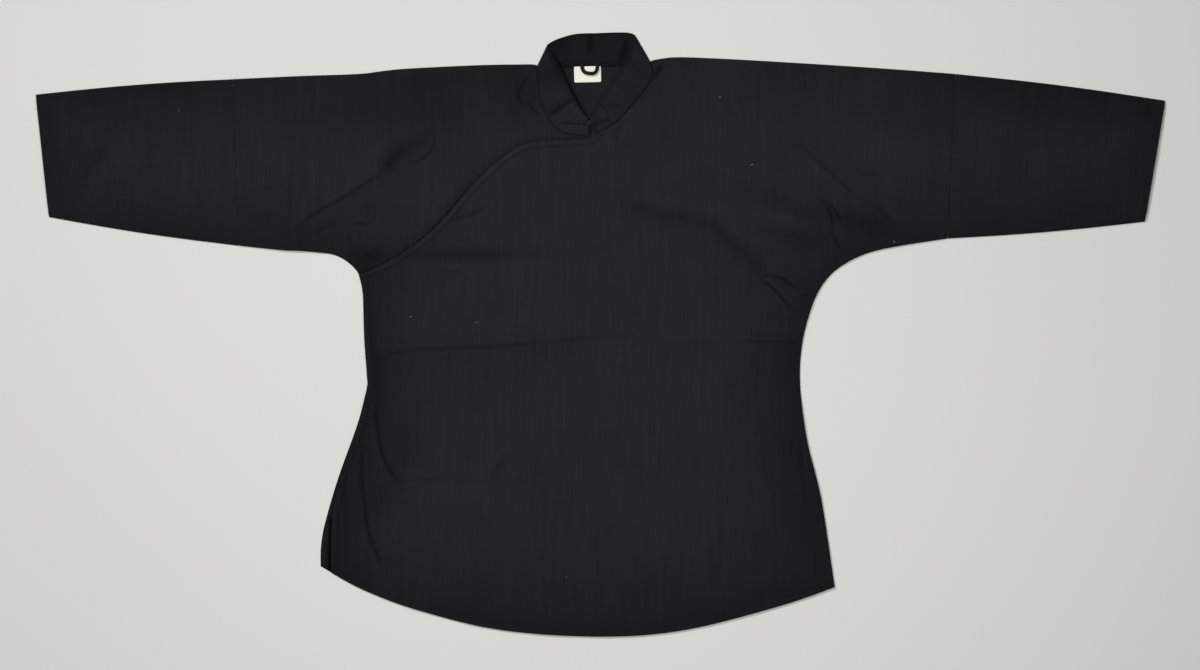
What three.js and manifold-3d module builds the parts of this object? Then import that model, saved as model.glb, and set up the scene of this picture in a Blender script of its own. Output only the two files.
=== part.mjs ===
// A side-closing Chinese shirt laid flat on a table, front up, with its arms out.
//
// Millimetres. +X runs towards the wearer's left cuff, +Y towards the collar and +Z up from the table. The
// origin lies on the table, below the middle of the shirt's box.
//
// The body is cut in one width of cloth and folded over the shoulders, so back and front meet in a fold
// along the top of the arms, and no seam runs down the middle. The outer front crosses the whole chest and
// closes along a slanting edge that ends under the wearer's right arm. Below it lie the wearer's right front
// and a small under flap. A sleeve end is sewn to each side of the cloth, and a stand-up collar to the neck.
// Each piece is a wall of cloth, one seam gap above or beside the next.

import * as THREE from "three";
import { mergeVertices } from "three/addons/utils/BufferGeometryUtils.js";
import Module from "manifold-3d";

const wasm = await Module();
wasm.setup();

// Driving sizes

const CLOTH = 1; // wall of one layer
const SEAM_GAP = 0.3; // between pieces sewn together or lying on each other
const LAYER = CLOTH + SEAM_GAP;
const CELL = 18; // spacing of a front's points
const EDGE_STEP = 22; // spacing of the points along a curved edge
const EDGE_FLAT = 2; // the fronts lie flat this far from the shirt's edge,
const EDGE_FADE = 26; // and their folds are full from here on
const FLAP_MARGIN = 20; // the outer front stays up this far past the layer below it,
const FLAP_FALL = 36; // and comes down over this width
const COLLAR_WALL = 2; // two layers of cloth and their interlining
const COLLAR_SECTIONS = 78;
const COLLAR_ROWS = 3;
const NECK_GAP = 0.7; // in plan, from the neckline to the foot of the leaning collar

// Corners of the pieces, in plan. "Right" and "left" are the wearer's: right is at -X.
const CORNER = {
  rightCuffTop: [-705.5, 299.8],
  rightCuffFoot: [-689, 146.8],
  rightJoinTop: [-460, 319],
  rightJoinFoot: [-452, 111],
  rightUnderarm: [-302, 75],
  rightVentTop: [-291, -60],
  rightNeck: [-84, 337.5],
  centreNeck: [-11, 245.6],
  leftNeck: [67.5, 343.2],
  leftJoinTop: [444, 325.5],
  leftJoinFoot: [434, 120],
  leftCuffTop: [705.5, 292.2],
  leftCuffFoot: [680, 141],
  leftHem: [292.5, -315.5],
  backRightHem: [-349.8, -289.5],
  frontRightHem: [-337, -297],
  flapNeck: [-19, 223.6],
  flapSide: [-296.8, 50],
};

// Points that an edge passes through between its corners.
const EDGE = {
  rightShoulder: [[-375, 323], [-300, 325.8], [-250, 331.6], [-150, 336.6]],
  rightArm: [[-400, 105.5], [-365, 103.5], [-325, 97]],
  rightSide: [[-296.8, 50], [-295.4, 0], [-293, -35]],
  backRightVent: [[-302.5, -108], [-329, -183], [-347.5, -250]],
  backHem: [[-298, -318.5], [-228, -344.3], [-125, -369], [0, -377.4], [105, -369.2], [225, -339]],
  frontRightVent: [[-301, -108], [-326, -183], [-335, -232]],
  frontHem: [[-295, -319.5], [-228, -344.3], [-125, -369], [0, -377.4], [105, -369.2], [225, -339]],
  leftSide: [[276, -207], [258, -132], [249.5, -63], [251.5, -15], [259.5, 20], [269.5, 48], [287, 74],
    [314, 93], [352, 106.5]],
  leftShoulder: [[82, 345.6], [110, 346.3], [200, 342], [350, 332.6]],
  closing: [[-52, 243.4], [-93, 240.6], [-122, 224], [-160, 189], [-208, 134], [-255, 99]],
  flapSeam: [[-86, 217], [-125, 195], [-166, 165], [-215, 111], [-262, 72]],
  flapFoot: [[-281, -95], [-266, -150], [-245, -186], [-190, -190], [-137, -187], [-106, -158], [-88, -110]],
};

// The collar band, from its right end at the centre front, round the back of the neck, to its left end. Each
// row is one section: its foot on the neckline and its free top edge. At the two sides of the neck the band
// folds over, and the rows there lie close together.
const COLLAR = [
  { at: "right end", foot: [-15, 247.8, 2.3], top: [-16.5, 270, 15] },
  { at: "right front", foot: [-52, 254.5, 2.3], top: [-27, 284, 16] },
  { at: "right front", foot: [-69, 276, 2.3], top: [-32.5, 295, 17] },
  { at: "right front", foot: [-77, 305, 2.4], top: [-43, 316, 13] },
  { at: "right front", foot: [-79, 325, 3], top: [-54, 343, 8] },
  { at: "right fold", foot: [-78, 333.5, 3.9], top: [-63.5, 356, 5] },
  { at: "right fold", foot: [-77.6, 336.6, 2.6], top: [-65.6, 361.2, 3.2] },
  { at: "right fold", foot: [-74, 337, 1.02], top: [-60.5, 366, 1.02] },
  { at: "back", foot: [-38, 336.3, 1.02], top: [-34, 375, 1.02] },
  { at: "back", foot: [-5, 336.6, 1.02], top: [-4, 376.6, 1.02] },
  { at: "back", foot: [30, 338.6, 1.02], top: [20, 377.4, 1.02] },
  { at: "left fold", foot: [56.5, 341.6, 1.02], top: [36.5, 376.8, 1.02] },
  { at: "left fold", foot: [60.6, 341.4, 2.7], top: [41.9, 374.2, 3] },
  { at: "left fold", foot: [62.4, 337.4, 3.9], top: [42.2, 369, 5.2] },
  { at: "left front", foot: [65.4, 325, 3.1], top: [38, 356, 9] },
  { at: "left front", foot: [59.4, 311.4, 2.4], top: [28, 333, 14] },
  { at: "left front", foot: [32.5, 279, 2.5], top: [6, 300, 17] },
  { at: "left front", foot: [19, 265.6, 3], top: [-3.5, 285.5, 16.5] },
  { at: "left end", foot: [-8.5, 248.6, 3.7], top: [-11.5, 270.5, 15] },
];
// Shares of the band's length: where each neckline starts and ends beside it.
const NECK_SHARE = { rightFront: [0.02, 0.245], back: [0.345, 0.655], leftFront: [0.742, 0.985] };

// The largest folds of the fronts: how high each stands, how far it spreads to a side, and its line.
const FOLDS = [
  { at: "right underarm, upper", height: 3, spread: 24, line: [[-205, 231], [-235, 214], [-252, 203]] },
  { at: "right underarm, long", height: 5.5, spread: 30,
    line: [[-262, 213], [-305, 180], [-344, 155], [-385, 124]] },
  { at: "right waist", height: 4, spread: 26, line: [[-270, -18], [-225, -12], [-150, -7], [-50, -1]] },
  { at: "left waist", height: 3.5, spread: 26, line: [[62, -4], [138, -6], [200, -4], [232, -3]] },
  { at: "chest to left underarm", height: 5.5, spread: 34,
    line: [[26, 190], [100, 160], [145, 147], [184, 116], [206, 86], [240, 46]] },
  { at: "left shoulder to underarm", height: 4.5, spread: 26,
    line: [[231, 244], [275, 213], [312, 176], [340, 158]] },
  { at: "left underarm", height: 4.5, spread: 24, line: [[271, 172], [290, 140], [304, 118]] },
  { at: "left sleeve, underside", height: 3.5, spread: 22, line: [[318, 148], [342, 141], [368, 132]] },
  { at: "skirt beside the under flap", height: 4.5, spread: 28,
    line: [[-288, -120], [-294, -160], [-292, -205], [-280, -255]] },
  { at: "skirt below the under flap", height: 3.5, spread: 26,
    line: [[-240, -205], [-190, -210], [-137, -205]] },
  { at: "left skirt", height: 3.5, spread: 30, line: [[246, -110], [252, -160], [256, -215]] },
];

const SLEEVE = { sections: 10, rows: 7, bow: 2.4 };
// One soft fold along each sleeve end: where it lies and how far it spreads, as shares across the sleeve.
const SLEEVE_FOLD = { height: 2.2, at: 0.6, spread: 0.32 };
const LABEL = { width: 33, height: 20.4, centre: [-16, 324.6], turn: 0.03, corner: 2.4 };
const LOOP = {
  halfWidth: 2, halfHeight: 1.1, steps: 14, sides: 8,
  line: [[-24.6, 338.4], [-22.6, 330], [-15.4, 325], [-8, 325.4], [-3.6, 331], [-2.2, 338.8]],
};
const STRAP = { halfWidth: 2.7, halfHeight: 1.1, sides: 8, steps: 7 };
// The two straps of the neck fastening, as shares along the collar and up it, from the knot outwards.
const STRAPS = {
  frog_knot_strap: { along: [0.006, 0.075], up: [0.76, 0.3] },
  frog_loop_strap: { along: [0.997, 0.95], up: [0.76, 0.38] },
};
const KNOT = { radius: 3.2, around: 12, down: 8 };
const KNOT_SINK = 0.7; // the share of its radius that the knot stands up between the collar's ends

const BLACK_COTTON = { color: 0x232327, roughness: 0.9, metalness: 0 };
const BLACK_BRAID = { color: 0x1b1b1e, roughness: 0.8, metalness: 0 };
const CREAM_TAPE = { color: 0xe9e4d2, roughness: 0.75, metalness: 0 };

// Edges and outlines in plan

const plan = ([x, y]) => new THREE.Vector2(x, y);

/** Points EDGE_STEP apart on a smooth line through the named points. */
function curved(...through) {
  const curve = new THREE.SplineCurve(through.map(plan));
  return curve.getSpacedPoints(Math.ceil(curve.getLength() / EDGE_STEP));
}

const straight = (...through) => through.map(plan);

const reversed = (edge) => [...edge].reverse();

/** A closed outline from edges that follow each other end to end. */
const outline = (...edges) => new THREE.Shape(edges.flatMap((edge) => edge.slice(0, -1)));

/** Distance in plan from a point to a line of points. */
function distanceTo(line, point) {
  const nearest = new THREE.Vector3();
  const target = new THREE.Vector3(point.x, point.y, 0);
  let least = Infinity;
  for (let i = 1; i < line.length; i++) {
    const from = new THREE.Vector3(line[i - 1].x, line[i - 1].y, 0);
    const to = new THREE.Vector3(line[i].x, line[i].y, 0);
    new THREE.Line3(from, to).closestPointToPoint(target, true, nearest);
    least = Math.min(least, nearest.distanceTo(target));
  }
  return least;
}

/** Whether a point lies inside a closed outline. */
function isInside(points, { x, y }) {
  let inside = false;
  for (let i = 0, j = points.length - 1; i < points.length; j = i++) {
    const [a, b] = [points[i], points[j]];
    if (a.y > y !== b.y > y && x < ((b.x - a.x) * (y - a.y)) / (b.y - a.y) + a.x) inside = !inside;
  }
  return inside;
}

// Solids

/** A closed mesh from its points and triangles, turned so that its faces point out. */
function closedMesh(points, triangles) {
  const volume = triangles.reduce(
    (sum, [a, b, c]) => sum + points[a].dot(points[b].clone().cross(points[c])),
    0,
  );
  const geometry = new THREE.BufferGeometry();
  const positions = points.flatMap((point) => point.toArray());
  geometry.setAttribute("position", new THREE.Float32BufferAttribute(positions, 3));
  geometry.setIndex(triangles.flatMap(([a, b, c]) => (volume > 0 ? [a, b, c] : [a, c, b])));
  return geometry;
}

const quad = (a, b, c, d) => [[a, b, c], [a, c, d]];

/** The faces that join ring after ring of `size` points, where a ring starts at every `stride` points. */
function ringFaces(count, size, stride, start = 0) {
  const faces = [];
  for (let ring = 0; ring + 1 < count; ring++) {
    for (let i = 0; i < size; i++) {
      const [near, far] = [start + ring * stride, start + (ring + 1) * stride];
      const next = (i + 1) % size;
      faces.push(...quad(near + i, near + next, far + next, far + i));
    }
  }
  return faces;
}

/** A solid bar through rings of points that run out along one side and back along the other. */
function bar(rings) {
  const size = rings[0].length;
  const faces = ringFaces(rings.length, size, size);
  const last = (rings.length - 1) * size;
  for (let i = 0; i + 1 < size / 2; i++) {
    const [back, backNext] = [size - 1 - i, size - 2 - i];
    faces.push(...quad(back, backNext, i + 1, i));
    faces.push(...quad(last + i, last + i + 1, last + backNext, last + back));
  }
  return closedMesh(rings.flat(), faces);
}

/** An open-ended tube through pairs of rings, the outer and the inner face of its wall. */
function tube(pairs) {
  const size = pairs[0].outer.length;
  const stride = 2 * size;
  const last = (pairs.length - 1) * stride;
  const faces = [
    ...ringFaces(pairs.length, size, stride),
    ...ringFaces(pairs.length, size, stride, size).map(([a, b, c]) => [a, c, b]),
  ];
  for (let i = 0; i < size; i++) {
    const next = (i + 1) % size;
    faces.push(...quad(i, size + i, size + next, next));
    faces.push(...quad(last + i, last + next, last + size + next, last + size + i));
  }
  return closedMesh(pairs.flatMap(({ outer, inner }) => [...outer, ...inner]), faces);
}

/** A geometry as a manifold-3d solid. */
function toManifold(geometry) {
  const bare = geometry.clone();
  bare.deleteAttribute("normal");
  bare.deleteAttribute("uv");
  const merged = mergeVertices(bare, 1e-4);
  return new wasm.Manifold(
    new wasm.Mesh({
      numProp: 3,
      vertProperties: new Float32Array(merged.attributes.position.array),
      triVerts: new Uint32Array(merged.index.array),
    }),
  );
}

function toGeometry(manifold) {
  const { vertProperties, triVerts } = manifold.getMesh();
  const geometry = new THREE.BufferGeometry();
  geometry.setAttribute("position", new THREE.Float32BufferAttribute(vertProperties, 3));
  geometry.setIndex(Array.from(triVerts));
  return geometry;
}

/** A flat panel with the given outline, from one height up. */
function flatPanel(shape, underside, wall = CLOTH) {
  const geometry = new THREE.ExtrudeGeometry(shape, { depth: wall, bevelEnabled: false });
  return geometry.translate(0, 0, underside);
}

/** A panel with the given outline whose underside follows a height for each place. */
function reliefPanel(shape, undersideAt) {
  const box = new THREE.Box2().setFromPoints(shape.getPoints());
  const first = box.min.clone().divideScalar(CELL).floor();
  const last = box.max.clone().divideScalar(CELL).ceil();
  const [columns, rows] = [last.x - first.x + 1, last.y - first.y + 1];
  const points = [];
  for (const wall of [0, CLOTH]) {
    for (let j = 0; j < rows; j++) {
      for (let i = 0; i < columns; i++) {
        const place = new THREE.Vector2((first.x + i) * CELL, (first.y + j) * CELL);
        points.push(new THREE.Vector3(place.x, place.y, undersideAt(place) + wall));
      }
    }
  }
  const top = columns * rows;
  const faces = [];
  for (let j = 0; j + 1 < rows; j++) {
    for (let i = 0; i + 1 < columns; i++) {
      const [a, b] = [j * columns + i, j * columns + i + 1];
      const [c, d] = [b + columns, a + columns];
      faces.push(...quad(top + a, top + b, top + c, top + d));
      faces.push(...quad(a, d, c, b));
    }
  }
  const rim = [];
  for (let i = 0; i < columns; i++) rim.push(i);
  for (let j = 1; j < rows; j++) rim.push(j * columns + columns - 1);
  for (let i = columns - 2; i >= 0; i--) rim.push((rows - 1) * columns + i);
  for (let j = rows - 2; j > 0; j--) rim.push(j * columns);
  rim.forEach((from, i) => {
    const to = rim[(i + 1) % rim.length];
    faces.push(...quad(from, to, top + to, top + from));
  });
  const reach = 60;
  const prism = flatPanel(shape, -reach / 2, reach);
  return toGeometry(toManifold(closedMesh(points, faces)).intersect(toManifold(prism)));
}

// The collar

function collarCurve(edge) {
  const points = COLLAR.map((section) => new THREE.Vector3(...section[edge]));
  return new THREE.CatmullRomCurve3(points, false, "centripetal");
}
const collarFoot = collarCurve("foot");
const collarTop = collarCurve("top");

/** A point of the band's middle layer, by its share along the band, counted in sections, and up it. */
function collarPoint(along, up) {
  const point = collarFoot.getPoint(along).lerp(collarTop.getPoint(along), up);
  return point.setZ(Math.max(point.z, COLLAR_WALL / 2));
}

/** The direction out of the band's outer face. */
function collarOut(along, up) {
  const step = 0.004;
  const forward = collarPoint(Math.min(1, along + step), up).sub(collarPoint(Math.max(0, along - step), up));
  const rise = collarTop.getPoint(along).sub(collarFoot.getPoint(along));
  return rise.cross(forward).normalize();
}

/** The neckline beside the foot of the collar, between two corners and two shares of the band. */
function neckline([start, end], from, to) {
  const steps = 12;
  const points = Array.from({ length: steps + 1 }, (_, i) => {
    const along = start + ((end - start) * i) / steps;
    const foot = collarFoot.getPoint(along);
    const rise = collarTop.getPoint(along).sub(foot).setZ(0).normalize();
    return new THREE.Vector2(foot.x, foot.y).sub(new THREE.Vector2(rise.x, rise.y).multiplyScalar(NECK_GAP));
  });
  return [plan(from), ...points, plan(to)];
}

function collarBand() {
  const rings = Array.from({ length: COLLAR_SECTIONS + 1 }, (_, section) => {
    const along = section / COLLAR_SECTIONS;
    const side = (sign, row) => {
      const up = row / COLLAR_ROWS;
      return collarPoint(along, up).addScaledVector(collarOut(along, up), (sign * COLLAR_WALL) / 2);
    };
    const rows = Array.from({ length: COLLAR_ROWS + 1 }, (_, row) => row);
    return [...rows.map((row) => side(1, row)), ...rows.reverse().map((row) => side(-1, row))];
  });
  return bar(rings);
}

/** One strap of the neck fastening: a flat oval cord that lies on the collar's outer face. */
function collarStrap({ along, up }) {
  const lift = COLLAR_WALL / 2 + SEAM_GAP + STRAP.halfHeight;
  const centre = (t) => {
    const [s, v] = [THREE.MathUtils.lerp(...along, t), THREE.MathUtils.lerp(...up, t)];
    return { out: collarOut(s, v), point: collarPoint(s, v).addScaledVector(collarOut(s, v), lift) };
  };
  const rings = Array.from({ length: STRAP.steps + 1 }, (_, i) => {
    const t = i / STRAP.steps;
    const { out, point } = centre(t);
    const forward = centre(t + 0.01).point.sub(centre(t - 0.01).point).normalize();
    const side = forward.clone().cross(out).normalize();
    return Array.from({ length: STRAP.sides }, (_, k) => {
      const angle = ((k + 0.5) / STRAP.sides) * 2 * Math.PI;
      return point
        .clone()
        .addScaledVector(side, Math.cos(angle) * STRAP.halfWidth)
        .addScaledVector(out, Math.sin(angle) * STRAP.halfHeight);
    });
  });
  return bar(rings);
}

/** The knot button over the gap between the collar's two ends. */
function collarKnot() {
  const up = STRAPS.frog_knot_strap.up[0];
  const lift = COLLAR_WALL / 2 + KNOT_SINK * KNOT.radius;
  const beside = [0, 1].map((end) => collarPoint(end, up).addScaledVector(collarOut(end, up), lift));
  const centre = beside[0].lerp(beside[1], 0.5);
  const geometry = new THREE.SphereGeometry(KNOT.radius, KNOT.around, KNOT.down);
  return geometry.translate(centre.x, centre.y, centre.z);
}

// The edges of the pieces

const C = CORNER;
const moved = (corner, x, y = 0) => [corner[0] + x, corner[1] + y];
const joins = {
  right: [moved(C.rightJoinTop, SEAM_GAP), moved(C.rightJoinFoot, SEAM_GAP)],
  left: [moved(C.leftJoinTop, -SEAM_GAP), moved(C.leftJoinFoot, -SEAM_GAP)],
};
const edge = {
  rightShoulder: curved(joins.right[0], ...EDGE.rightShoulder, C.rightNeck),
  rightJoin: straight(...reversed(joins.right)),
  rightArm: curved(C.rightUnderarm, ...reversed(EDGE.rightArm), joins.right[1]),
  rightSide: curved(C.rightVentTop, ...reversed(EDGE.rightSide), C.rightUnderarm),
  backRightVent: curved(C.backRightHem, ...reversed(EDGE.backRightVent), C.rightVentTop),
  backHem: curved(C.leftHem, ...reversed(EDGE.backHem), C.backRightHem),
  frontRightVent: curved(C.frontRightHem, ...reversed(EDGE.frontRightVent), C.rightVentTop),
  frontHem: curved(C.leftHem, ...reversed(EDGE.frontHem), C.frontRightHem),
  leftSide: curved(joins.left[1], ...reversed(EDGE.leftSide), C.leftHem),
  leftJoin: straight(...joins.left),
  leftShoulder: curved(C.leftNeck, ...EDGE.leftShoulder, joins.left[0]),
  closing: curved(C.centreNeck, ...EDGE.closing, C.rightUnderarm),
  flapSeam: curved(C.flapNeck, ...EDGE.flapSeam, C.flapSide),
  flapNeckDrop: straight(C.centreNeck, C.flapNeck),
  flapSideRise: straight(C.flapSide, C.rightUnderarm),
  flapSide: curved(C.rightVentTop, ...reversed(EDGE.rightSide.slice(1)), moved(C.flapSide, 0, -SEAM_GAP)),
  flapTop: curved(C.flapNeck, ...EDGE.flapSeam, C.flapSide).map(({ x, y }) => plan([x, y - LAYER / 2])),
  flapFoot: curved(C.rightVentTop, ...EDGE.flapFoot),
  rightNeck: reversed(neckline(NECK_SHARE.rightFront, C.centreNeck, C.rightNeck)),
  backNeck: neckline(NECK_SHARE.back, C.rightNeck, C.leftNeck),
  leftNeck: reversed(neckline(NECK_SHARE.leftFront, C.leftNeck, C.centreNeck)),
};

const backShape = outline(
  edge.rightShoulder, edge.backNeck, edge.leftShoulder, edge.leftJoin, edge.leftSide, edge.backHem,
  edge.backRightVent, edge.rightSide, edge.rightArm, edge.rightJoin,
);
const rightFrontShape = outline(
  edge.rightShoulder, edge.rightNeck, edge.flapNeckDrop, edge.flapSeam, edge.flapSideRise, edge.rightArm,
  edge.rightJoin,
);
const outerFrontShape = outline(
  edge.leftShoulder, edge.leftJoin, edge.leftSide, edge.frontHem, edge.frontRightVent, edge.rightSide,
  reversed(edge.closing), edge.leftNeck,
);
const underFlapShape = new THREE.Shape([
  ...edge.flapTop.slice(0, -1), ...reversed(edge.flapSide).slice(0, -1), ...edge.flapFoot,
]);

// Heights of the fronts

const shirtEdge = [...backShape.getPoints(), backShape.getPoints()[0]];
const lowerLayer = [rightFrontShape, underFlapShape].map((shape) => shape.getPoints());

/** How high the folds lift the fronts at a place. */
function foldHeight(place) {
  const inland = THREE.MathUtils.smoothstep(distanceTo(shirtEdge, place), EDGE_FLAT, EDGE_FADE);
  const heights = FOLDS.map(({ height, spread, line }) => {
    const away = distanceTo(line.map(plan), place);
    return height * (1 - THREE.MathUtils.smoothstep(away, 0, spread));
  });
  return isInside(shirtEdge, place) ? inland * Math.max(...heights) : 0;
}

/** How much of a layer the outer front rises at a place, to pass over the right front and the under flap. */
function flapShare(place) {
  const gaps = lowerLayer.map((points) =>
    isInside(points, place) ? 0 : distanceTo([...points, points[0]], place),
  );
  return 1 - THREE.MathUtils.smoothstep(Math.min(...gaps), FLAP_MARGIN, FLAP_MARGIN + FLAP_FALL);
}

const rightFrontHeight = (place) => LAYER + foldHeight(place);
const outerFrontHeight = (place) => LAYER * (1 + flapShare(place)) + foldHeight(place);

/** A flattened sleeve end, open at its join and at its cuff. */
function sleeveEnd(joinTop, joinFoot, cuffTop, cuffFoot) {
  const pairs = Array.from({ length: SLEEVE.sections + 1 }, (_, section) => {
    const u = section / SLEEVE.sections;
    const bow = SLEEVE.bow * Math.sin(u * Math.PI);
    const top = plan(joinTop).lerp(plan(cuffTop), u).add(new THREE.Vector2(0, bow));
    const foot = plan(joinFoot).lerp(plan(cuffFoot), u).sub(new THREE.Vector2(0, bow));
    const width = top.distanceTo(foot);
    const at = (share, z) => {
      const place = top.clone().lerp(foot, share);
      return new THREE.Vector3(place.x, place.y, z);
    };
    const rise = (share) => {
      const away = Math.abs(share - SLEEVE_FOLD.at);
      const fold = 1 - THREE.MathUtils.smoothstep(away, 0, SLEEVE_FOLD.spread);
      return SLEEVE_FOLD.height * fold * Math.sin(u * Math.PI) ** 2;
    };
    const shares = Array.from({ length: SLEEVE.rows + 1 }, (_, row) => row / SLEEVE.rows);
    const inset = (share) => THREE.MathUtils.clamp(share, CLOTH / width, 1 - CLOTH / width);
    const back = [...shares].reverse();
    return {
      outer: [...shares.map((s) => at(s, LAYER + CLOTH + rise(s))), ...back.map((s) => at(s, 0))],
      inner: [...shares.map((s) => at(inset(s), LAYER + rise(s))), ...back.map((s) => at(inset(s), CLOTH))],
    };
  });
  return tube(pairs);
}

function labelTape() {
  const { width, height, corner, centre, turn } = LABEL;
  const [x, y] = [width / 2, height / 2];
  const shape = new THREE.Shape(straight(
    [-x, -y], [x - corner, -y], [x, corner - y], [x, y - corner], [x - corner, y], [-x, y],
  ));
  return flatPanel(shape, 0).rotateZ(turn).translate(...centre, LAYER);
}

/** The hanging loop: a flat cord that lies over the label, with both ends at the collar's seam. */
function hangingLoop() {
  const height = 2 * LAYER + LOOP.halfHeight;
  const path = new THREE.CatmullRomCurve3(LOOP.line.map(([x, y]) => new THREE.Vector3(x, y, height)));
  const section = new THREE.Shape();
  section.absellipse(0, 0, LOOP.halfHeight, LOOP.halfWidth, 0, 2 * Math.PI);
  const { steps, sides } = LOOP;
  return new THREE.ExtrudeGeometry(section, {
    steps, extrudePath: path, bevelEnabled: false, curveSegments: sides,
  });
}

// Assembly

const rightSleeve = sleeveEnd(C.rightJoinTop, C.rightJoinFoot, C.rightCuffTop, C.rightCuffFoot);
const leftSleeve = sleeveEnd(C.leftJoinTop, C.leftJoinFoot, C.leftCuffTop, C.leftCuffFoot);

const PIECES = [
  ["back", BLACK_COTTON, flatPanel(backShape, 0)],
  ["right_front", BLACK_COTTON, reliefPanel(rightFrontShape, rightFrontHeight)],
  ["under_flap", BLACK_COTTON, flatPanel(underFlapShape, LAYER)],
  ["outer_front", BLACK_COTTON, reliefPanel(outerFrontShape, outerFrontHeight)],
  ["right_sleeve_end", BLACK_COTTON, rightSleeve],
  ["left_sleeve_end", BLACK_COTTON, leftSleeve],
  ["collar_band", BLACK_COTTON, collarBand()],
  ["frog_knot_strap", BLACK_BRAID, collarStrap(STRAPS.frog_knot_strap)],
  ["frog_loop_strap", BLACK_BRAID, collarStrap(STRAPS.frog_loop_strap)],
  ["frog_knot", BLACK_BRAID, collarKnot()],
  ["hanging_loop", BLACK_BRAID, hangingLoop()],
  ["neck_label", CREAM_TAPE, labelTape()],
];

const shirt = new THREE.Group();
for (const [name, look, geometry] of PIECES) {
  const mesh = new THREE.Mesh(geometry, new THREE.MeshStandardMaterial(look));
  mesh.name = name;
  shirt.add(mesh);
}

export default shirt;
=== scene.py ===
"""The looks of a side-closing Chinese shirt laid flat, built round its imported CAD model.

Plan points, heights and sizes are in millimetres, in the CAD's frame: +X to the wearer's left cuff, +Y to
the collar and +Z up from the table. They become metres when a mesh is made. Each CAD panel gives its piece of
cloth the outline and the height, and the tables below add the creases. "Right" and "left" are the wearer's.
"""

import math

import bmesh
import bpy
import numpy as np
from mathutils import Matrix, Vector
from mathutils.bvhtree import BVHTree
from mathutils.geometry import delaunay_2d_cdt


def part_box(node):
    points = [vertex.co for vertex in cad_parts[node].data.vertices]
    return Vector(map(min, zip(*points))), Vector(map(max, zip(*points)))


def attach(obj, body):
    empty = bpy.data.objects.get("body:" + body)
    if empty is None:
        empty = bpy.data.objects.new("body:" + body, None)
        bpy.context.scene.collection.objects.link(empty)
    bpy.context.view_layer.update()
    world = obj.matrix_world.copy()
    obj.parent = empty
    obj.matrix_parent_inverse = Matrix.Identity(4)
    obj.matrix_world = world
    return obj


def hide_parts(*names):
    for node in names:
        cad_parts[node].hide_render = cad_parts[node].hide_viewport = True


MM = 0.001
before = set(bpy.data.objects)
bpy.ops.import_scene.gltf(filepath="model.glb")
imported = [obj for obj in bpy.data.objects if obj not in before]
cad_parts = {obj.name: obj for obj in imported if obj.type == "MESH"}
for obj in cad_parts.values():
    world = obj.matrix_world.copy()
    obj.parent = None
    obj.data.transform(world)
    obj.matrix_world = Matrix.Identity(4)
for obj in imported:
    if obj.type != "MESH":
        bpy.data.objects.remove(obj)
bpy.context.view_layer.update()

# --- Sizes of the cloth -----------------------------------------------------

WALL = 0.7  # thickness of one layer
BACK_FLOOR = 0.05  # height of the back's underside
SPACING = {"back": 4.6, "outer_front": 3.9, "right_front": 3.4, "under_flap": 8.0}
RIM_STEP = 2.6  # spacing of the points along an edge
CORNER_ANGLE = math.radians(36)  # an outline turns at a corner by more than this

LOFT = {"height": 1.5, "reach": 30, "free": 26}  # air under the cloth, full so far from tied and free edges
RIPPLE = {"seed": 7, "wavelengths": (38, 150), "height": 0.24}
BACK_RIPPLE = {"seed": 11, "wavelengths": (45, 160), "height": 0.07}
LAYER_GAP = 0.05  # least air between the back's upper face and the layer on it
FOLD_EDGE = {"depth": 0.85, "radius": 5}  # where the front turns down to the back, at a fold or a side seam
JOIN_EDGE = {"depth": 0.6, "radius": 2.2}  # at the seam with a sleeve end
NECK_EDGE = {"depth": 0.5, "radius": 2.4}  # at the seam with the collar
HEM = {"width": 7.6, "height": 0.4, "groove": 0.24}
HEM_ROWS = (1.1, 2.4, 5, 6.8, 7.6, 8.4, 11)
FACING = {"width": 7.6, "height": 0.42, "groove": 0.26}  # the turned edge of the closing
FACING_ROWS = (1.1, 2.4, 3.8, 5.4, 6.8, 7.6, 8.4, 10)
CUFF_HEM = {"width": 13, "height": 0.4, "groove": 0.22}
VENT_TOP = {"right": -60, "left": -78}  # below this the sides are open
STITCH = {"length": 2.4, "gap": 0.9, "radius": 0.2, "sides": 5}
# Sections of a stitch: share of its length, girth and lift in radii.
STITCH_PROFILE = ((0.0, 0.3, -0.5), (0.2, 0.9, 0.15), (0.5, 1.0, 0.4), (0.8, 0.9, 0.15), (1.0, 0.3, -0.5))
RIM_ANGLES = (50, 0, -50)  # of the points round a rim, in degrees
SLEEVE = {"sections": 76, "across": 56, "length": 245}
LINT_FIBRE = {"half_width": 0.27, "half_height": 0.22, "sides": 6}
LINT_PLACES = [(190.6, 211.9), (-238, 21.9), (-155.6, 14.4), (150.6, 296.9), (367.6, 114.4)]

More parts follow.
